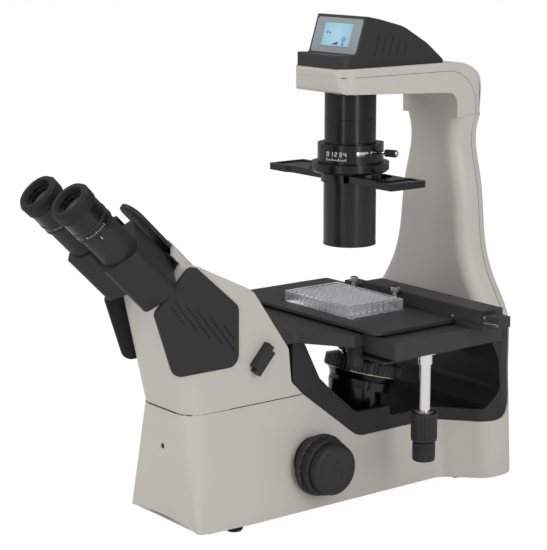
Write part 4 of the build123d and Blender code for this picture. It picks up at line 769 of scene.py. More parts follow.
def turned(profile: Sequence[Pair], segments: int = 72) -> Shape:
    """Closed outline of (radius, height) points turned about the z axis.

    Args:
        profile: the outline's points.
        segments: number of steps round the axis.

    Returns:
        The turned surface.
    """
    sections = []
    for radius, height in profile:
        angles = [2 * math.pi * index / segments for index in range(segments)]
        sections.append([Vector((radius * math.cos(a), radius * math.sin(a), height)) for a in angles])
    return rings(sections)


def hoop(inner: float, outer: float, low: float, high: float, segments: int) -> Shape:
    """Flat ring or short tube about the z axis."""
    return turned([(inner, low), (outer, low), (outer, high), (inner, high)], segments)


@dataclass(frozen=True)
class RibbedBand:
    """Ring with straight ribs round its outside, such as a knurled grip."""

    radius: float
    depth: float
    count: int
    low: float
    high: float
    bore: float
    chamfer: float = 0.4

    def shape(self) -> Shape:
        """The band about the z axis.

        Returns:
            The band.
        """
        sides = [
            (self.bore, self.low, 0.0),
            (self.radius - self.chamfer - self.depth, self.low, 0.0),
            (self.radius, self.low + self.chamfer, 1.0),
            (self.radius, self.high - self.chamfer, 1.0),
            (self.radius - self.chamfer - self.depth, self.high, 0.0),
            (self.bore, self.high, 0.0),
        ]
        return rings([self._ring(radius, height, share) for radius, height, share in sides])

    def _ring(self, radius: float, height: float, share: float) -> list[Vector]:
        """One ring of points, with the ribs standing out by a share of their depth.

        Args:
            radius: reach of the ribs' tops.
            height: height of the ring.
            share: share of the ribs' depth.

        Returns:
            The points of the ring.
        """
        points = []
        for rib in range(self.count):
            for phase, dip in ((0.0, 0.0), (0.42, 0.0), (0.56, 1.0), (0.86, 1.0)):
                angle = 2 * math.pi * (rib + phase) / self.count
                reach = radius - dip * share * self.depth
                points.append(Vector((reach * math.cos(angle), reach * math.sin(angle), height)))
        return points


def plate(outline: Sequence[Pair], low: float, high: float) -> Shape:
    """Flat plate with an outline in x and y.

    Args:
        outline: points in x and y.
        low: height of the lower face.
        high: height of the upper face.

    Returns:
        The plate.
    """
    bottom = [Vector((x, y, low)) for x, y in outline]
    top = [Vector((x, y, high)) for x, y in outline]
    shape = rings([bottom, top], closed=False)
    count = len(outline)
    shape.faces.append(tuple(range(count - 1, -1, -1)))
    shape.faces.append(tuple(range(count, 2 * count)))
    return shape


def rounded(half_x: float, half_y: float, radius: float) -> list[Pair]:
    """Outline of a rectangle with round corners, centred on the origin.

    Args:
        half_x: half the size along x.
        half_y: half the size along y.
        radius: radius of the corners.

    Returns:
        The points of the outline.
    """
    points = []
    steps = 6
    for corner, (sx, sy) in enumerate(((1, 1), (-1, 1), (-1, -1), (1, -1))):
        for step in range(steps + 1):
            angle = math.radians(90 * (corner + step / steps))
            points.append((
                sx * (half_x - radius) + radius * math.cos(angle),
                sy * (half_y - radius) + radius * math.sin(angle),
            ))
    return points


def frame_plate(outer: Sequence[Pair], inner: Sequence[Pair], low: float, high: float) -> Shape:
    """Flat frame between two outlines that have the same number of points.

    Args:
        outer: the outer outline.
        inner: the inner outline.
        low: height of the lower face.
        high: height of the upper face.

    Returns:
        The frame.
    """
    return rings([
        [Vector((x, y, low)) for x, y in outer],
        [Vector((x, y, high)) for x, y in outer],
        [Vector((x, y, high)) for x, y in inner],
        [Vector((x, y, low)) for x, y in inner],
    ])


def disc_screw(radius: float, height: float, hole: float) -> Shape:
    """Screw head with a chamfered rim and a hexagon socket, standing on z = 0.

    Args:
        radius: radius of the head.
        height: height of the head.
        hole: distance of the socket's corners from its middle.

    Returns:
        The screw head.
    """
    segments = 36
    angles = [2 * math.pi * index / segments for index in range(segments)]
    sixth, half_sixth = math.radians(60), math.radians(30)
    sections = []
    for reach, z in ((radius, 0.0), (radius, height - 0.2 * radius), (radius * 0.82, height)):
        sections.append([Vector((reach * math.cos(a), reach * math.sin(a), z)) for a in angles])
    for z in (height, height * 0.25):
        ring = []
        for angle in angles:
            flat = hole * math.cos(half_sixth) / math.cos(angle % sixth - half_sixth)
            ring.append(Vector((flat * math.cos(angle), flat * math.sin(angle), z)))
        sections.append(ring)
    shape = rings(sections, closed=False)
    start = (len(sections) - 1) * segments
    shape.faces.append(tuple(start + index for index in range(segments)))
    return shape


def strip(path: Sequence[Vector], outward: Sequence[Vector], half_width: float, lift: float) -> Shape:
    """Narrow bar that is laid along a surface, half sunk in it.

    Args:
        path: points on the surface.
        outward: the surface's outward directions there.
        half_width: half the bar's width.
        lift: height of the bar above the surface.

    Returns:
        The bar, open at its ends.
    """
    sections = []
    for index, (point, out) in enumerate(zip(path, outward)):
        before = path[max(index - 1, 0)]
        after = path[min(index + 1, len(path) - 1)]
        along = (after - before).normalized()
        across = along.cross(out).normalized() * half_width
        sections.append([
            point + out * lift + across,
            point + out * lift - across,
            point - out * 0.8 - across,
            point - out * 0.8 + across,
        ])
    return rings(sections, closed=False)


class Numeral:
    """Plain numerals from 0 to 4, built from straight strokes."""

    STROKES = {"0": "abcdef", "1": "bc", "2": "abged", "3": "abgcd", "4": "fgbc"}
    BARS = {
        "a": (0.0, 1.0, True), "g": (0.0, 0.5, True), "d": (0.0, 0.0, True),
        "f": (0.0, 0.75, False), "e": (0.0, 0.25, False), "b": (0.55, 0.75, False), "c": (0.55, 0.25, False),
    }

    @classmethod
    def shape(cls, digit: str, height: float, depth: float) -> Shape:
        """One numeral in x and y, standing out along z.

        Args:
            digit: the numeral.
            height: its height.
            depth: how far the strokes stand out.

        Returns:
            The strokes.
        """
        half = height * 0.07
        quarter = height * 0.25
        left = height * 0.12 - height * 0.40
        made = Shape()
        for name in cls.STROKES[digit]:
            x, y, flat = cls.BARS[name]
            x, y = left + x * height, y * height
            if flat:
                across, upright = (x, x + 0.55 * height), (y - half, y + half)
            else:
                across, upright = (x - half, x + half), (y - quarter, y + quarter)
            made.add(bar(across, upright, (0.0, depth)))
        return made


def bar(x: Pair, y: Pair, z: Pair) -> Shape:
    """Small straight stroke between pairs along the three axes."""
    corners = [(x[0], y[0]), (x[1], y[0]), (x[1], y[1]), (x[0], y[1])]
    return plate(corners, z[0], z[1])


def linked(name: str, data: bpy.types.ID) -> bpy.types.Object:
    """A new object in the scene.

    Args:
        name: the object's name.
        data: its mesh, lamp or camera.

    Returns:
        The object.
    """
    made = bpy.data.objects.new(name, data)
    bpy.context.scene.collection.objects.link(made)
    return made


class Bench:
    """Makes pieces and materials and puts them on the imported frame."""

    BEVEL_ANGLE = 50.0
    SHARP_ANGLE = 35.0
    SAME_POINT = 0.000001

    def __init__(self) -> None:
        """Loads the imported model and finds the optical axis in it."""
        self.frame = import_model()
        low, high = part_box("condenser_tube")
        self.offset = Vector(((low.x + high.x) / 2, (low.y + high.y) / 2, 0.0))
        self.materials: dict[str, bpy.types.Material] = {}

    def metres(self, point: Sequence[float]) -> Vector:
        """A point of the stand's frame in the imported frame, in metres."""
        return Vector(point) * MM + self.offset

    def millimetres(self, point: Vector) -> Vector:
        """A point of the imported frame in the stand's frame, in millimetres."""
        return (point - self.offset) / MM

    def middle(self, node: str) -> Vector:
        """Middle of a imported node's box, in the stand's frame."""
        low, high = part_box(node)
        return self.millimetres((low + high) / 2)

    def material(self, coat: Coat) -> bpy.types.Material:
        """The material of a finish, made once.

        Args:
            coat: the finish.

        Returns:
            The material.
        """
        if coat.name not in self.materials:
            made = bpy.data.materials.new(coat.name.lower())
            finish = coat.value
            if isinstance(finish, LitScreen):
                finish = self._lit_screen(finish)
            finish.dress(Graph(made))
            self.materials[coat.name] = made
        return self.materials[coat.name]

    @staticmethod
    def _lit_screen(finish: LitScreen) -> LitScreen:
        """The display's finish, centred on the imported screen.

        Args:
            finish: the display's finish as listed.

        Returns:
            The finish with its middle and its reach.
        """
        low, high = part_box("touch_screen")
        reach = (high - low).length * 0.55
        return LitScreen(finish.slot, finish.shade, middle=(low + high) / 2, reach=reach)

    def dress_node(self, node: str, coat: Coat) -> None:
        """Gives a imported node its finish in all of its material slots.

        Args:
            node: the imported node's name.
            coat: the finish.
        """
        mesh = self.frame["nodes"][node].data
        material = self.material(coat)
        if not mesh.materials:
            mesh.materials.append(material)
        for index in range(len(mesh.materials)):
            mesh.materials[index] = material
        LOG.info("node %s wears %s", node, coat.name.lower())

    def piece(
        self,
        name: str,
        shape: Shape,
        coat: Coat,
        body: str = "root",
        soften: float = 0.0,
        replaces: tuple[str, ...] = (),
    ) -> bpy.types.Object:
        """Makes a piece that rides on a body.

        Args:
            name: the piece's name.
            shape: its surface.
            coat: its finish.
            body: the body that it rides on.
            soften: width in millimetres of a bevel on its sharp edges.
            replaces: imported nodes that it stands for.

        Returns:
            The new object.
        """
        mesh = bpy.data.meshes.new(name)
        mesh.from_pydata([self.metres(v) for v in shape.vertices], [], shape.faces)
        mesh.validate()
        mesh.materials.append(self.material(coat))
        made = linked(name, mesh)
        self._tidy(mesh)
        if soften > 0:
            bevel = made.modifiers.new("soft_edges", "BEVEL")
            bevel.width = soften * MM
            bevel.segments = 2
            bevel.limit_method = "ANGLE"
            bevel.angle_limit = math.radians(self.BEVEL_ANGLE)
        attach(made, body)
        if replaces:
            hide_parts(*replaces)
        LOG.info("piece %s: %d faces on %s", name, len(mesh.polygons), body)
        return made

    @staticmethod
    def _tidy(mesh: bpy.types.Mesh) -> None:
        """Joins doubled points, turns faces outwards and sets which edges stay sharp.

        Args:
            mesh: the mesh of a new piece.
        """
        work = bmesh.new()
        work.from_mesh(mesh)
        bmesh.ops.remove_doubles(work, verts=work.verts, dist=Bench.SAME_POINT)
        bmesh.ops.recalc_face_normals(work, faces=work.faces)
        work.to_mesh(mesh)
        work.free()
        mesh.shade_smooth()
        mesh.set_sharp_from_angle(angle=math.radians(Bench.SHARP_ANGLE))


class Skin:
    """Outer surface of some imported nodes, on which trim is laid."""

    REACH = 90.0

    def __init__(self, bench: Bench, *nodes: str) -> None:
        """Collects the nodes' surfaces.

        Args:
            bench: the bench that holds the frame.
            nodes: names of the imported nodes.
        """
        vertices: list[Vector] = []
        faces: list[tuple[int, ...]] = []
        for node in nodes:
            mesh = bench.frame["nodes"][node].data
            start = len(vertices)
            vertices += [bench.millimetres(v.co) for v in mesh.vertices]
            faces += [tuple(i + start for i in p.vertices) for p in mesh.polygons]
        self.tree = BVHTree.FromPolygons(vertices, faces)

    def hit(self, point: Vector, out: Vector) -> Vector | None:
        """Where a line from outside meets the surface.

        Args:
            point: a point near the surface.
            out: direction that leads outwards.

        Returns:
            The point on the surface, or None where the line misses it.
        """
        found = self.tree.ray_cast(point + out * self.REACH, -out, 2 * self.REACH)
        return found[0]


@dataclass
class Stand:
    """Lower cover, front cover, pillar and arm: seams drawn as strips of painted shade, corners, plate
    screws and the power lamp.
    """

    bench: Bench
    cover_seam_z: float = 139.6
    cover_half: float = 49.5
    cover_front: float = -272.0
    cover_rear: float = -111.0
    cover_corner: float = 8.0
    arm_seam_z: float = 499.5
    arm_half: float = 49.0
    arm_front: float = -54.0
    arm_corner: float = 22.0
    skin_start: float = 39.5
    skin_step: float = 2.6
    skin_count: int = 8
    skin_low: float = 481.5
    skin_rise: float = 5.5
    skin_high: float = 506.2
    skin_proud: float = 0.1
    skin_thick: float = 0.6
    skin_parting: float = 0.4
    seam_bend: float = 46.0
    seam_y: float = 157.0
    seam_foot_z: float = 191.0
    gap_half: float = 0.5
    seam_half: float = 0.3
    plate_face: float = 8.3

    def build(self) -> None:
        """Makes every piece of the stand."""
        self.cover_seam_shade()
        self.arm_corners()
        self.arm_seam_shade()
        self.plate_screws()
        self.lamp_bezel()

    @staticmethod
    def _laid(skin: Skin, guide: list[tuple[Vector, Vector]], shift: Vector, half: float) -> Shape:
        """A line of painted shade on a surface along a guide of points and outward directions.

        Args:
            skin: the surface.
            guide: points near the surface with their outward directions.
            shift: offset from the guide to where the surface is looked for.
            half: half the line's width.

        Returns:
            The line.
        """
        path, outs = [], []
        for point, out in guide:
            found = skin.hit(point + shift, out)
            if found is not None:
                path.append(found - shift)
                outs.append(out)
        return strip(path, outs, half, 0.06)

    def cover_seam_shade(self) -> None:
        """Dark strip along the gap between the lower cover and the front cover: painted shade in the gap."""
        half, front, corner, z = self.cover_half, self.cover_front, self.cover_corner, self.cover_seam_z
        side, ahead = Vector((1, 0, 0)), Vector((0, -1, 0))
        guide = []
        for share in shares(24):
            guide.append((Vector((half, between(self.cover_rear, front + corner, share), z)), side))
        for share in shares(13)[1:-1]:
            out = direction(-90 * share)
            guide.append((Vector((half - corner, front + corner, z)) + out * corner, out))
        for share in shares(9):
            guide.append((Vector((between(half - corner, 0.0, share), front, z)), ahead))
        mirror = Matrix.Scale(-1, 4, (1, 0, 0))
        guide += [(mirror @ p, mirror @ o) for p, o in reversed(guide[:-1])]
        skin = Skin(self.bench, "base_housing")
        shape = self._laid(skin, guide, Vector((0, 0, -0.8)), self.gap_half)
        self.bench.piece("cover_seam_shade", shape, Coat.GAP_SHADE)

    def arm_corners(self) -> None:
        """Thin painted skins round the two front corners of the arm, parted at the cover's seam."""
        made = Shape()
        radius = self.arm_corner + self.skin_proud
        lower_top = self.arm_seam_z - self.skin_parting
        upper_foot = self.arm_seam_z + self.skin_parting
        for side in (1, -1):
            skin = Shape()
            for index in range(self.skin_count):
                turns = [side * (self.skin_start + step * self.skin_step) for step in (index, index + 1)]
                start, end = sorted(math.radians(turn) * radius for turn in turns)
                low = self.skin_low + self.skin_rise * (1 - index / (self.skin_count - 1))
                for heights in ((low, lower_top), (upper_foot, self.skin_high)):
                    skin.add(bar((start, end), heights, (-self.skin_thick, 0.0)))
            place = at(side * (self.arm_half - self.arm_corner), self.arm_front + self.arm_corner, 0)
            made.add(skin.wrapped(radius).moved(place))
        self.bench.piece("arm_corner_skins", made, Coat.GREY_PAINT)

    def arm_seam_shade(self) -> None:
        """Grey strip along the seam of the cover over the arm's top and down the pillar's back: painted
        shade in the seam.
        """
        half, front, corner, z = self.arm_half, self.arm_front, self.arm_corner, self.arm_seam_z
        side, ahead = Vector((1, 0, 0)), Vector((0, -1, 0))
        bend_y, bend_z = self.seam_y - self.seam_bend, z - self.seam_bend
        guide = []
        for share in shares(7):
            guide.append((Vector((between(0.0, half - corner, share), front, z)), ahead))
        for share in shares(13)[1:-1]:
            out = direction(-90 + 90 * share)
            guide.append((Vector((half - corner, front + corner, z)) + out * corner, out))
        for share in shares(20):
            guide.append((Vector((half, between(front + corner, bend_y, share), z)), side))
        for share in shares(15)[1:-1]:
            turn = direction(90 - 90 * share) * self.seam_bend
            guide.append((Vector((half, bend_y + turn.x, bend_z + turn.y)), side))
        for share in shares(50):
            guide.append((Vector((half, self.seam_y, between(bend_z, self.seam_foot_z, share))), side))
        mirror = Matrix.Scale(-1, 4, (1, 0, 0))
        both = [(mirror @ p, mirror @ o) for p, o in reversed(guide[1:])] + guide
        skin = Skin(self.bench, "pillar_and_arm")
        shape = self._laid(skin, both, Vector((0, -0.5, -0.5)), self.seam_half)
        self.bench.piece("arm_seam_shade", shape, Coat.SEAM)

    def plate_screws(self) -> None:
        """Screws that hold the bottom plate."""
        shape = Shape()
        for x, y in ((-52, -240), (52, -240), (-60, -60), (60, -60), (-85, 100), (85, 100), (0, 165)):
            shape.add(disc_screw(4.0, 1.6, 1.9), frame_at((x, y, self.plate_face), (0, 0, -1)))
        self.bench.piece("plate_screws", shape, Coat.STEEL, soften=0.1)

    def lamp_bezel(self) -> None:
        """Thin ring round the power lamp and its domed lens."""
        middle = self.bench.middle("power_led")
        place = frame_at((middle.x, self.cover_front, middle.z), (0, -1, 0))
        ring = turned([(2.0, -0.5), (3.0, -0.5), (3.0, 0.35), (2.6, 0.7), (2.1, 0.7), (2.0, 0.3)], 40)
        self.bench.piece("lamp_bezel", ring.moved(place), Coat.KNOB_PLASTIC)
        dome = turned([(0.0, 0.0), (1.9, 0.0), (1.9, 0.6), (1.5, 1.1), (0.8, 1.4), (0.0, 1.5)], 32)
        self.bench.piece("lamp_dome", dome.moved(place), Coat.LED_LENS)


@dataclass
class Head:
    """Binocular head: diopter scales, knurls, eyepiece bands and lens seats on the two arms."""

    bench: Bench
    pivot_y: float = -281.0
    pivot_z: float = 301.0
    spacing: float = 65.0
    pivot_radius: float = 40.0
    ring_length: float = 9.0
    ring_air: float = 0.3
    lens_below_end: float = 10.0
    scale_turn: float = 66.0

    def __post_init__(self) -> None:
        """Takes the ring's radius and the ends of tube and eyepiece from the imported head."""
        low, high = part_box("right_diopter_ring")
        self.ring_radius = (high - low).x / MM / 2
        self.tube_end = self.along("right_diopter_ring") - (self.ring_length + self.ring_air) / 2
        self.eye_end = self.along("right_eye_lens") + self.lens_below_end

    def along(self, node: str) -> float:
        """Distance of a node's middle from the pivot's origin, along the eyepiece axis."""
        return (self.eye_frame(1).inverted() @ self.bench.middle(node)).z

    def eye_frame(self, side: int) -> Matrix:
        """Frame on one eyepiece axis, z towards the eye, y up and back.

        Args:
            side: 1 on the right, -1 on the left.

        Returns:
            The frame.
        """
        drop = math.sqrt(self.pivot_radius ** 2 - (self.spacing / 2) ** 2)
        head = frame_at((0, self.pivot_y, self.pivot_z), (0, -1, 1))
        return head @ at(side * self.spacing / 2, -drop, 0)

    def build(self) -> None:
        """Makes the pieces of both sides."""
        for side, name in ((1, "right"), (-1, "left")):
            place = self.eye_frame(side)
            self.diopter(place, name)
            self.eyepiece_rings(place, name)

    def diopter(self, place: Matrix, name: str) -> None:
        """Knurled band and white scale of one diopter ring.

        Args:
            place: frame on the eyepiece axis.
            name: name of the side.
        """
        ring, end = f"{name}_diopter_ring", self.tube_end
        band = RibbedBand(self.ring_radius + 0.35, 0.45, 90, end + 0.8, end + 4.6, self.ring_radius - 0.8)
        self.bench.piece(f"{name}_diopter_knurl", band.shape().moved(place), Coat.KNOB_PLASTIC, ring)
        marks = Shape()
        turn = spun(self.scale_turn)
        start = end + 5.2
        for index in range(-5, 6):
            length = 2.6 if index % 5 == 0 else 1.5
            middle = index * 2.4
            tick = bar((middle - 0.22, middle + 0.22), (start, start + length), (0.0, INK))
            marks.add(tick.wrapped(self.ring_radius), turn)
        self.bench.piece(f"{name}_diopter_scale", marks.moved(place), Coat.WHITE_INK, ring)
        pointer = bar((-0.3, 0.3), (end - 5.0, end - 1.0), (0.0, INK))
        pointer = pointer.wrapped(self.ring_radius - 0.8).moved(turn)
        self.bench.piece(f"{name}_diopter_index", pointer.moved(place), Coat.WHITE_INK, f"{name}_arm")

    def eyepiece_rings(self, place: Matrix, name: str) -> None:
        """A step ring on one eyepiece body, and the black anodised seat of its lens.

        Args:
            place: frame on the eyepiece axis.
            name: name of the side.
        """
        low = self.tube_end + self.ring_length
        band = turned([
            (self.ring_radius - 0.5, low + 1.4),
            (self.ring_radius + 0.5, low + 1.7),
            (self.ring_radius + 0.5, low + 4.2),
            (self.ring_radius - 0.5, low + 4.5),
        ], 96)
        self.bench.piece(f"{name}_eyepiece_band", band.moved(place), Coat.KNOB_PLASTIC, f"{name}_arm")
        end = self.eye_end
        seat = turned([(12.2, end - 8.2), (15.0, end - 8.2), (15.0, end - 7.2), (12.2, end - 7.6)], 72)
        self.bench.piece(f"{name}_lens_seat", seat.moved(place), Coat.ANODISED, f"{name}_arm")


@dataclass
class Console:
    """Control console on the arm: lit symbols and the lip round the glass."""

    bench: Bench
    glass_thick: float = 2.6
    slope_run: float = 14.0
    slope_rise: float = 41.5
    mark: Pair = (0.0, 0.08)

    def __post_init__(self) -> None:
        """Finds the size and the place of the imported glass."""
        low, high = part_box("touch_screen")
        low, high = self.bench.millimetres(low), self.bench.millimetres(high)
        tilt = math.atan2(self.slope_run, self.slope_rise)
        rise = Vector((0, math.sin(tilt), math.cos(tilt)))
        out = Vector((0, -math.cos(tilt), math.sin(tilt)))
        self.half_x = (high.x - low.x) / 2
        self.half_y = ((high.z - low.z) - self.glass_thick * math.sin(tilt)) / math.cos(tilt) / 2
        foot = Vector(((low.x + high.x) / 2, low.y, high.z - 2 * self.half_y * rise.z))
        self.place = frame_at(foot + rise * self.half_y + out * 0.1, out)

    def build(self) -> None:
        """Makes the console's pieces."""
        outer = rounded(self.half_x + 1.0, self.half_y + 1.0, 2.2)
        inner = rounded(self.half_x - 0.3, self.half_y - 0.3, 1.2)
        lip = frame_plate(outer, inner, -0.4, 0.5)
        self.bench.piece("screen_lip", lip.moved(self.place), Coat.GREY_PLASTIC, soften=0.2)
        self.bench.piece("screen_symbols", self.symbols().moved(self.place), Coat.SCREEN_INK)

    def symbols(self) -> Shape:
        """A brightness ramp, a lamp sign and small marks, all plain.

        Returns:
            The symbols in the glass's own frame.
        """
        low, high = self.mark
        made = Shape()
        for index in range(6):
            x = -7.0 + index * 2.0
            made.add(bar((x, x + 1.7), (-12.4, -11.8 + index * 0.72), self.mark))
        sun = at(13.5, -5.2, 0)
        for spoke in range(8):
            made.add(bar((1.9, 4.4), (-0.32, 0.32), self.mark), sun @ spun(45 * spoke))
        made.add(hoop(1.3, 1.9, low, high, 24), sun)
        made.add(hoop(1.4, 2.1, low, high, 24), at(13.5, -11.4, 0))
        made.add(bar((12.4, 14.6), (-11.7, -11.1), self.mark))
        bolt = [
            (-18.5, 3.8), (-16.8, 3.8), (-17.6, 2.2), (-16.2, 2.2),
            (-18.9, -0.8), (-18.1, 1.2), (-19.4, 1.2),
        ]
        made.add(plate(bolt, low, high))
        made.add(bar((-14.6, -12.2), (0.6, 2.6), self.mark))
        return made


@dataclass
class LampColumn:
    """Lamp tube, aperture collar and condenser: scale, lugs, the lever's knurled grip and trim rings."""

    bench: Bench
    collar_radius: float = 38.6
    tube_radius: float = 30.5
    lever_azimuth: float = 20.0
    scale_azimuth: float = 24.0
    lug_azimuths: Pair = (75.0, -190.0)

    def __post_init__(self) -> None:
        """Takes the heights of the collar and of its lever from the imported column."""
        low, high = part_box("aperture_housing")
        self.collar_low, self.collar_high = low.z / MM, high.z / MM
        self.lever_z = self.bench.middle("aperture_lever").z

    def build(self) -> None:
        """Makes the column's pieces."""
        self.scale()
        self.collar_block()
        self.lever_grip()
        self.trim_rings()

    def scale(self) -> None:
        """Plain scale and numerals on the collar, facing the operator's right."""
        made = Shape()
        foot = self.collar_low + 4.6
        for index in range(13):
            tall = 3.2 if index % 4 == 0 else 1.8
            x = (index - 6) * 2.1
            made.add(bar((x - 0.35, x + 0.35), (foot, foot + tall), (0.0, INK)))
        for index in range(5):
            made.add(Numeral.shape(str(index), 4.6, INK), at((index - 2) * 5.6 + 0.3, foot + 5.4, 0))
        made = made.wrapped(self.collar_radius).moved(spun(self.scale_azimuth))
        self.bench.piece("aperture_scale", made, Coat.WHITE_INK)

    def collar_block(self) -> None:
        """Clamp blocks on the collar, where the lever leaves it and opposite."""
        made = Shape()
        for angle, half in zip(self.lug_azimuths, (5.0, 6.0)):
            block = plate(rounded(3.0, half, 1.2), self.collar_low + 0.5, self.collar_high - 0.5)
            made.add(block, spun(angle) @ at(self.collar_radius + 0.5, 0, 0))
        self.bench.piece("collar_lugs", made, Coat.STAGE_PAINT, soften=0.4)

    def lever_grip(self) -> None:
        """Knurled sleeve with a bright end on the aperture lever."""
        foot = (self.collar_radius + 9, 0, self.lever_z)
        place = spun(self.lever_azimuth) @ frame_at(foot, (1, 0, 0), (0, 1, 0))
        sleeve = RibbedBand(4.4, 0.45, 26, 0.0, 15.0, 1.5, 0.6)
        self.bench.piece("lever_sleeve", sleeve.shape().moved(place), Coat.KNOB_PLASTIC, "aperture_lever")
        end = turned([(0.0, 14.6), (3.3, 14.6), (3.3, 15.2), (2.6, 15.7), (0.0, 15.7)], 32)
        self.bench.piece("lever_end", end.moved(place), Coat.CHROME, "aperture_lever")

    def trim_rings(self) -> None:
        """Fine rings at the foot of the lamp tube and at the condenser's mouth."""
        inner, outer, foot = self.tube_radius - 0.5, self.tube_radius + 0.6, self.collar_high + 0.1
        made = turned([(inner, foot), (outer, foot), (outer, foot + 1.5), (inner, foot + 1.9)], 96)
        made.add(turned([(29.5, 297.2), (31.6, 297.2), (31.6, 299.4), (31.0, 300.0), (29.5, 300.0)], 96))
        self.bench.piece("column_rings", made, Coat.ANODISED)


@dataclass
class StageTrim:
    """Stage: clamp screws, rail screws, well rims and the bright slide strip."""

    bench: Bench
    table_z: float = 223.0
    rail_z: float = 240.0
    rail_front: float = 45.5
    screw_x: float = 38.0
    screw_y: float = 40.0
    plate_top: float = 235.0
    plate_y: float = -8.5
    pitch: float = 9.0
    rail_screw_x: tuple[float, ...] = (-18.3, 39.5, 97.8, 156.0)
    rail_screw_y: float = 73.5

    def build(self) -> None:
        """Makes the stage's pieces."""
        self.thumb_screws()
        self.rail_screws()
        self.well_rims()
        self.slide_strip()

    def thumb_screws(self) -> None:
        """Two knurled thumb screws with a thin neck and a flat washer."""
        screw = RibbedBand(5.1, 0.35, 40, 11.0, 17.0, 0.6, 0.7).shape()
        screw.add(turned([(0.0, 0.0), (2.2, 0.0), (2.2, 11.5), (0.0, 11.5)], 32))
        screw.add(turned([(0.0, 5.2), (3.2, 5.2), (3.5, 5.6), (3.5, 9.0), (3.0, 9.4), (0.0, 9.4)], 40))
        screw.add(turned([(0.0, 0.0), (4.4, 0.0), (4.4, 0.8), (0.0, 0.8)], 40))
        screw.add(turned([(0.0, 16.6), (4.2, 16.6), (3.8, 17.0), (0.0, 17.0)], 40))
        made = Shape()
        for x in (-self.screw_x, self.screw_x):
            made.add(screw, at(x, self.screw_y, self.table_z + 5.0))
        self.bench.piece("thumb_screws", made, Coat.STEEL, "x_slide", replaces=("clamp_screws",))

    def rail_screws(self) -> None:
        """Sunk screws on the rail's top and small bright ones on its front."""
        dark = Shape()
        for x in self.rail_screw_x:
            dark.add(disc_screw(2.4, 0.35, 1.3), frame_at((x, self.rail_screw_y, self.rail_z), (0, 0, 1)))
        self.bench.piece("rail_top_screws", dark, Coat.ANODISED, "y_slide")
        for name, x, z in (("bar_front_screw", 131.7, 225.5), ("bar_end_screw", 184.9, 232.7)):
            bright = disc_screw(1.8, 0.8, 0.8).moved(frame_at((x, self.rail_front + 1.0, z), (0, -1, 0)))
            self.bench.piece(name, bright, Coat.STEEL, "x_slide", soften=0.1)

    def slide_strip(self) -> None:
        """Bright chrome strip along the lower front edge of the cross slide bar."""
        shape = bar((184.0, 206.5), (self.rail_front + 0.4, self.rail_front + 2.0), (225.0, 228.0))
        self.bench.piece("slide_strip", shape, Coat.CHROME, "x_slide", soften=0.2)

    def well_rims(self) -> None:
        """Raised rims round the wells and the clipped rim of the plate."""
        made = Shape()
        ring = hoop(3.42, 4.25, -0.6, 0.35, 24)
        for column in range(12):
            for row in range(8):
                x = (column - 5.5) * self.pitch
                y = self.plate_y + (row - 3.5) * self.pitch
                made.add(ring, at(x, y, self.plate_top))
        self.bench.piece("well_rims", made, Coat.WELL_RIM, "well_plate")
        edge = frame_plate(rounded(62.6, 41.4, 2.6), rounded(61.6, 40.4, 1.8), -0.05, 0.6)
        edge = edge.moved(at(0, self.plate_y, self.plate_top))
        self.bench.piece("well_plate_rim", edge, Coat.WELL_PLASTIC, "well_plate", soften=0.15)


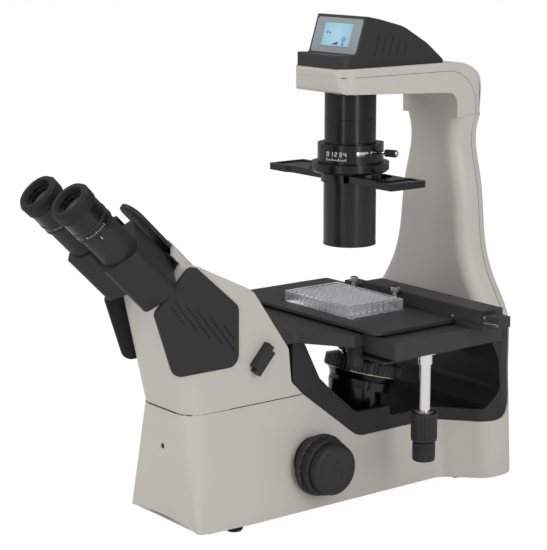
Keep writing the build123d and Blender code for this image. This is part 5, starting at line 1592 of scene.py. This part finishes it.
@dataclass
class Drives:
    """Focus and stage knobs: ribs, index dots and face rings."""

    bench: Bench
    wall_x: float = 72.0
    flange_radius: float = 36.0
    fine_end: float = 105.0
    dot_count: int = 20
    dot_reach: float = 34.2
    stage_x: float = 148.0
    stage_y: float = -10.0
    seat_outline: tuple[Pair, ...] = ((6.7, 123.4), (10.5, 123.4), (10.5, 124.6), (9.8, 125.4), (6.7, 125.4))

    def __post_init__(self) -> None:
        """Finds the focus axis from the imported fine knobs."""
        middle = self.bench.middle("fine_drive")
        self.focus_y, self.focus_z = middle.y, middle.z

    def side_frame(self, side: int, x: float) -> Matrix:
        """Frame on the focus axis at a distance from the middle, z outwards."""
        return frame_at((side * x, self.focus_y, self.focus_z), (side, 0, 0), (0, 1, 0))

    def build(self) -> None:
        """Makes the pieces of all knobs."""
        for side, name in ((1, "right"), (-1, "left")):
            self.focus_side(side, name)
        self.stage_knobs()

    def focus_side(self, side: int, name: str) -> None:
        """Ribs, dots and face rings of the focus knobs on one side.

        Args:
            side: 1 on the right, -1 on the left.
            name: name of the side.
        """
        place, face = self.side_frame(side, self.wall_x), self.side_frame(side, self.fine_end)
        rim = self.flange_radius
        dots, lines = Shape(), Shape()
        dot = turned([(0.0, 0.0), (0.32, 0.0), (0.32, INK), (0.0, INK)], 12)
        for index in range(self.dot_count):
            spot = direction(360 * index / self.dot_count) * self.dot_reach
            dots.add(dot, at(spot.x, spot.y, 8.0))
        for radius in (24.5, 9.0):
            lines.add(hoop(radius - 0.7, radius, -0.2, 0.25, 96))
        flange = RibbedBand(rim + 0.3, 0.7, 96, 0.9, 7.1, rim - 1.2, 0.5).shape()
        grip = RibbedBand(32.9, 0.6, 72, 10.0, 19.0, 31.6, 0.5).shape()
        fine = RibbedBand(29.8, 0.5, 110, -10.5, -3.0, 28.6, 0.4).shape()
        pieces = (
            ("flange_ribs", flange, place, Coat.KNOB_PLASTIC, "coarse_drive"),
            ("grip_ribs", grip, place, Coat.KNOB_PLASTIC, "coarse_drive"),
            ("flange_dots", dots, place, Coat.WHITE_INK, "coarse_drive"),
            ("fine_rings", lines, face, Coat.KNOB_PLASTIC, "fine_drive"),
            ("fine_ribs", fine, face, Coat.KNOB_PLASTIC, "fine_drive"),
        )
        for part, shape, where, coat, body in pieces:
            self.bench.piece(f"{name}_{part}", shape.moved(where), coat, body)

    def stage_knobs(self) -> None:
        """Knurled bands of the two stage knobs, the shaft's sleeve and its seat."""
        parts = (
            ("y_knob_knurl", RibbedBand(15.25, 0.5, 60, 93.0, 120.0, 13.6, 0.6).shape(), Coat.KNOB_PLASTIC),
            ("x_knob_knurl", RibbedBand(13.25, 0.45, 54, 69.0, 86.0, 11.8, 0.6).shape(), Coat.KNOB_PLASTIC),
            ("y_shaft_sleeve", hoop(6.35, 6.6, 123.2, 179.8, 64), Coat.CHROME),
            ("y_knob_seat", turned(self.seat_outline, 64), Coat.STEEL),
        )
        for name, shape, coat in parts:
            place = at(self.stage_x, self.stage_y, 0)
            self.bench.piece(name, shape.moved(place), coat, f"{name[0]}_drive")


@dataclass
class Nosepiece:
    """Nosepiece: ribs and ring of the turret, coloured bands and grips of the objectives."""

    bench: Bench
    tilt: float = 15.0
    offset_y: float = 27.0
    shoulder_z: float = 166.0
    lengths: tuple[float, ...] = (40.0, 38.0, 36.0, 39.0, 34.0)
    ribs: int = 44

    def axis(self) -> Matrix:
        """Frame on the nosepiece's tilted axis, origin in the shoulder plane.

        Returns:
            The frame.
        """
        slope = math.radians(self.tilt)
        drop = self.offset_y * math.tan(slope)
        origin = (0, self.offset_y, self.shoulder_z - drop)
        return frame_at(origin, (0, math.sin(slope), math.cos(slope)))

    def seat(self, index: int) -> Matrix:
        """Frame of one objective, z towards the sample.

        Args:
            index: number of the seat from 0.

        Returns:
            The frame.
        """
        slope = math.radians(self.tilt)
        reach = self.offset_y / math.cos(slope)
        return self.axis() @ spun(72 * index) @ at(0, -reach, 0) @ Matrix.Rotation(slope, 4, "X")

    def build(self) -> None:
        """Makes a band and a grip for each objective, and the ribs of the turret."""
        bands = (Coat.YELLOW_BAND, Coat.GREEN_BAND, Coat.BLUE_BAND, Coat.RED_BAND, Coat.YELLOW_BAND)
        grips = Shape()
        for index, coat in enumerate(bands):
            place = self.seat(index)
            low = self.lengths[index] * 0.45
            ring = hoop(11.6, 12.12, low, low + 1.6, 64)
            self.bench.piece(f"objective_band_{index + 1}", ring.moved(place), coat, "turret")
            grips.add(RibbedBand(12.35, 0.4, 60, 2.0, 7.5, 11.4, 0.4).shape(), place)
        self.bench.piece("objective_grips", grips, Coat.ANODISED, "turret")
        ribs = RibbedBand(47.5, 1.5, self.ribs, -21.4, -9.6, 44.5, 0.5)
        self.bench.piece("turret_ribs", ribs.shape().moved(self.axis()), Coat.KNOB_PLASTIC, "turret")
        ring = hoop(42.4, 46.3, -23.2, -22.3, 96)
        self.bench.piece("turret_ring", ring.moved(self.axis()), Coat.STEEL, "turret")


@dataclass
class RearPanel:
    """Mains inlet and switch at the back: frames, pins and the switch marks."""

    bench: Bench
    inlet_x: float = 55.0
    switch_x: float = 15.0
    port_z: float = 45.0
    rear_y: float = 180.0

    def build(self) -> None:
        """Makes the pieces at the back."""
        back, left = (0, 1, 0), (-1, 0, 0)
        for name, x, half_x in (("inlet", self.inlet_x, 14.0), ("switch", self.switch_x, 7.0)):
            outer, inner = rounded(half_x + 2.0, 12.5, 2.0), rounded(half_x - 0.3, 10.2, 1.0)
            place = frame_at((x, self.rear_y, self.port_z), back, left)
            flange = frame_plate(outer, inner, -0.3, 1.2).moved(place)
            self.bench.piece(f"{name}_flange", flange, Coat.DARK_PLASTIC, soften=0.3)
        pins = Shape()
        for x, up in ((-6.5, -1.5), (0.0, 3.0), (6.5, -1.5)):
            x, low = self.inlet_x + x, self.port_z + up - 2.15
            pins.add(bar((x - 1.15, x + 1.15), (self.rear_y - 13.5, self.rear_y - 0.9), (low, low + 4.3)))
        self.bench.piece("inlet_pins", pins, Coat.BRASS, soften=0.3)
        marks = bar((-0.3, 0.3), (4.0, 7.0), (0.0, 0.15))
        marks.add(hoop(1.1, 1.6, 0.0, 0.15, 24), at(0, -5.5, -0.9))
        marks = marks.moved(frame_at((self.switch_x, self.rear_y + 1.9, self.port_z), back, left))
        self.bench.piece("switch_marks", marks, Coat.WHITE_INK, "power_rocker")


@dataclass
class Studio:
    """Camera at the photograph's viewpoint, pale floor, soft lamps and plain surroundings."""

    bench: Bench
    azimuth: float = 52.551
    elevation: float = 11.636
    roll: float = -0.069
    place: tuple[float, float, float] = (1625.8, -1359.6, 694.3)
    lens: float = 117.94
    bright_side: float = -95.0
    aim: tuple[float, float, float] = (0.0, -40.0, 260.0)
    floor_half: float = 40.0
    floor_drop: float = 0.0002

    def build(self) -> None:
        """Makes everything around the object."""
        self.camera()
        self.surroundings()
        self.floor()
        self.lamp("key_lamp", (-1150.0, -2500.0, 2050.0), (1.7, 1.7), 31.0)
        self.lamp("fill_lamp", (2500.0, 150.0, 1350.0), (1.6, 1.6), 22.0)
        self.lamp("top_lamp", (-300.0, 500.0, 2700.0), (1.8, 1.8), 24.0)
        self.lamp("left_strip", (910.0, -2435.0, 900.0), (0.30, 2.4), 6.0)
        self.lamp("right_strip", (2564.0, -429.0, 900.0), (0.55, 2.4), 11.0)

    def camera(self) -> None:
        """The camera, with its axes from azimuth, elevation and roll."""
        data = bpy.data.cameras.new("viewpoint")
        data.lens = self.lens
        data.sensor_width = 36.0
        made = linked("viewpoint", data)
        turn = math.radians(self.azimuth)
        rise = math.radians(self.elevation)
        right = Vector((math.cos(turn), math.sin(turn), 0))
        level = Vector((math.sin(turn), -math.cos(turn), 0))
        back = level * math.cos(rise) + Vector((0, 0, math.sin(rise)))
        up = back.cross(right)
        tilt = Matrix.Rotation(math.radians(self.roll), 3, "Z")
        axes = Matrix((right, up, back)).transposed() @ tilt
        made.matrix_world = Matrix.Translation(self.bench.metres(self.place)) @ axes.to_4x4()
        data.clip_end = 100.0
        bpy.context.scene.camera = made

    def surroundings(self) -> None:
        """Plain soft world: white where it is seen, a studio level where it lights."""
        world = bpy.data.worlds.new("surroundings")
        bpy.context.scene.world = world
        graph = Graph(world)
        shown = graph.seen()
        part = graph.parts(graph.node("ShaderNodeTexCoord", output="Generated"))
        heading = math.radians(self.bright_side)
        facing = part * math.cos(heading) + part.output("Y") * math.sin(heading) + part.output("Z") * 0.5
        share = graph.node("ShaderNodeMapRange", {"interpolation_type": "SMOOTHSTEP"}, {
            "Value": facing, "From Min": -0.1, "From Max": 0.75, "To Min": 0.0, "To Max": 1.0,
        })
        levels = (((0.95, 0.97, 1.0), 0.20), ((1.0, 0.99, 0.97), 0.58), ((1.0, 1.0, 1.0), 1.0))
        dim, lit, white = [
            graph.node("ShaderNodeBackground", None, {"Color": (*colour, 1.0), "Strength": strength})
            for colour, strength in levels
        ]
        soft = graph.node("ShaderNodeMixShader", None, {0: share, 1: dim, 2: lit})
        both = graph.node("ShaderNodeMixShader", None, {0: shown, 1: soft, 2: white})
        graph.node("ShaderNodeOutputWorld", None, {"Surface": both})

    def floor(self) -> None:
        """Pale floor that shows white and keeps a faint shadow."""
        half, z = self.floor_half, -self.floor_drop
        mesh = bpy.data.meshes.new("floor")
        corners = [(-half, -half, z), (half, -half, z), (half, half, z), (-half, half, z)]
        mesh.from_pydata(corners, [], [(0, 1, 2, 3)])
        made = linked("floor", mesh)
        material = bpy.data.materials.new("pale_floor")
        graph = Graph(material)
        shown = graph.seen()
        matt = graph.node("ShaderNodeBsdfDiffuse", None, {"Color": (0.82, 0.82, 0.81, 1.0)})
        glow = graph.node("ShaderNodeEmission", None, {"Color": (1.0, 1.0, 1.0, 1.0), "Strength": 1.05})
        graph.surface(graph.node("ShaderNodeMixShader", None, {0: shown * 0.92, 1: matt, 2: glow}))
        mesh.materials.append(material)

    def lamp(self, name: str, place: Sequence[float], size: Pair, power: float) -> None:
        """One soft lamp, with its width and height, that points at the middle of the stand.

        Args:
            name: the lamp's name.
            place: where it stands, in the stand's frame.
            size: width and height in metres.
            power: its power in watts.
        """
        data = bpy.data.lights.new(name, "AREA")
        data.energy = power
        data.shape = "RECTANGLE"
        data.size, data.size_y = size
        made = linked(name, data)
        middle = self.bench.metres(self.aim)
        where = self.bench.metres(place)
        made.location = where
        made.rotation_mode = "QUATERNION"
        made.rotation_quaternion = (middle - where).to_track_quat("-Z", "Y")


def main() -> None:
    """Loads the frame, dresses it and adds the fittings, the camera and the lamps."""
    logging.basicConfig(level=logging.INFO, format="%(message)s")
    bpy.ops.object.select_all(action="SELECT")
    bpy.ops.object.delete()
    bench = Bench()
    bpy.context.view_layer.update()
    bpy.context.scene.view_settings.view_transform = "Standard"
    Studio(bench).build()
    for coat, nodes in NODE_COATS.items():
        for node in nodes:
            bench.dress_node(node, coat)
    for assembly in (Stand, Head, Console, LampColumn, StageTrim, Drives, Nosepiece, RearPanel):
        assembly(bench).build()
        LOG.info("%s is done", assembly.__name__)


if __name__ == "__main__":
    main()
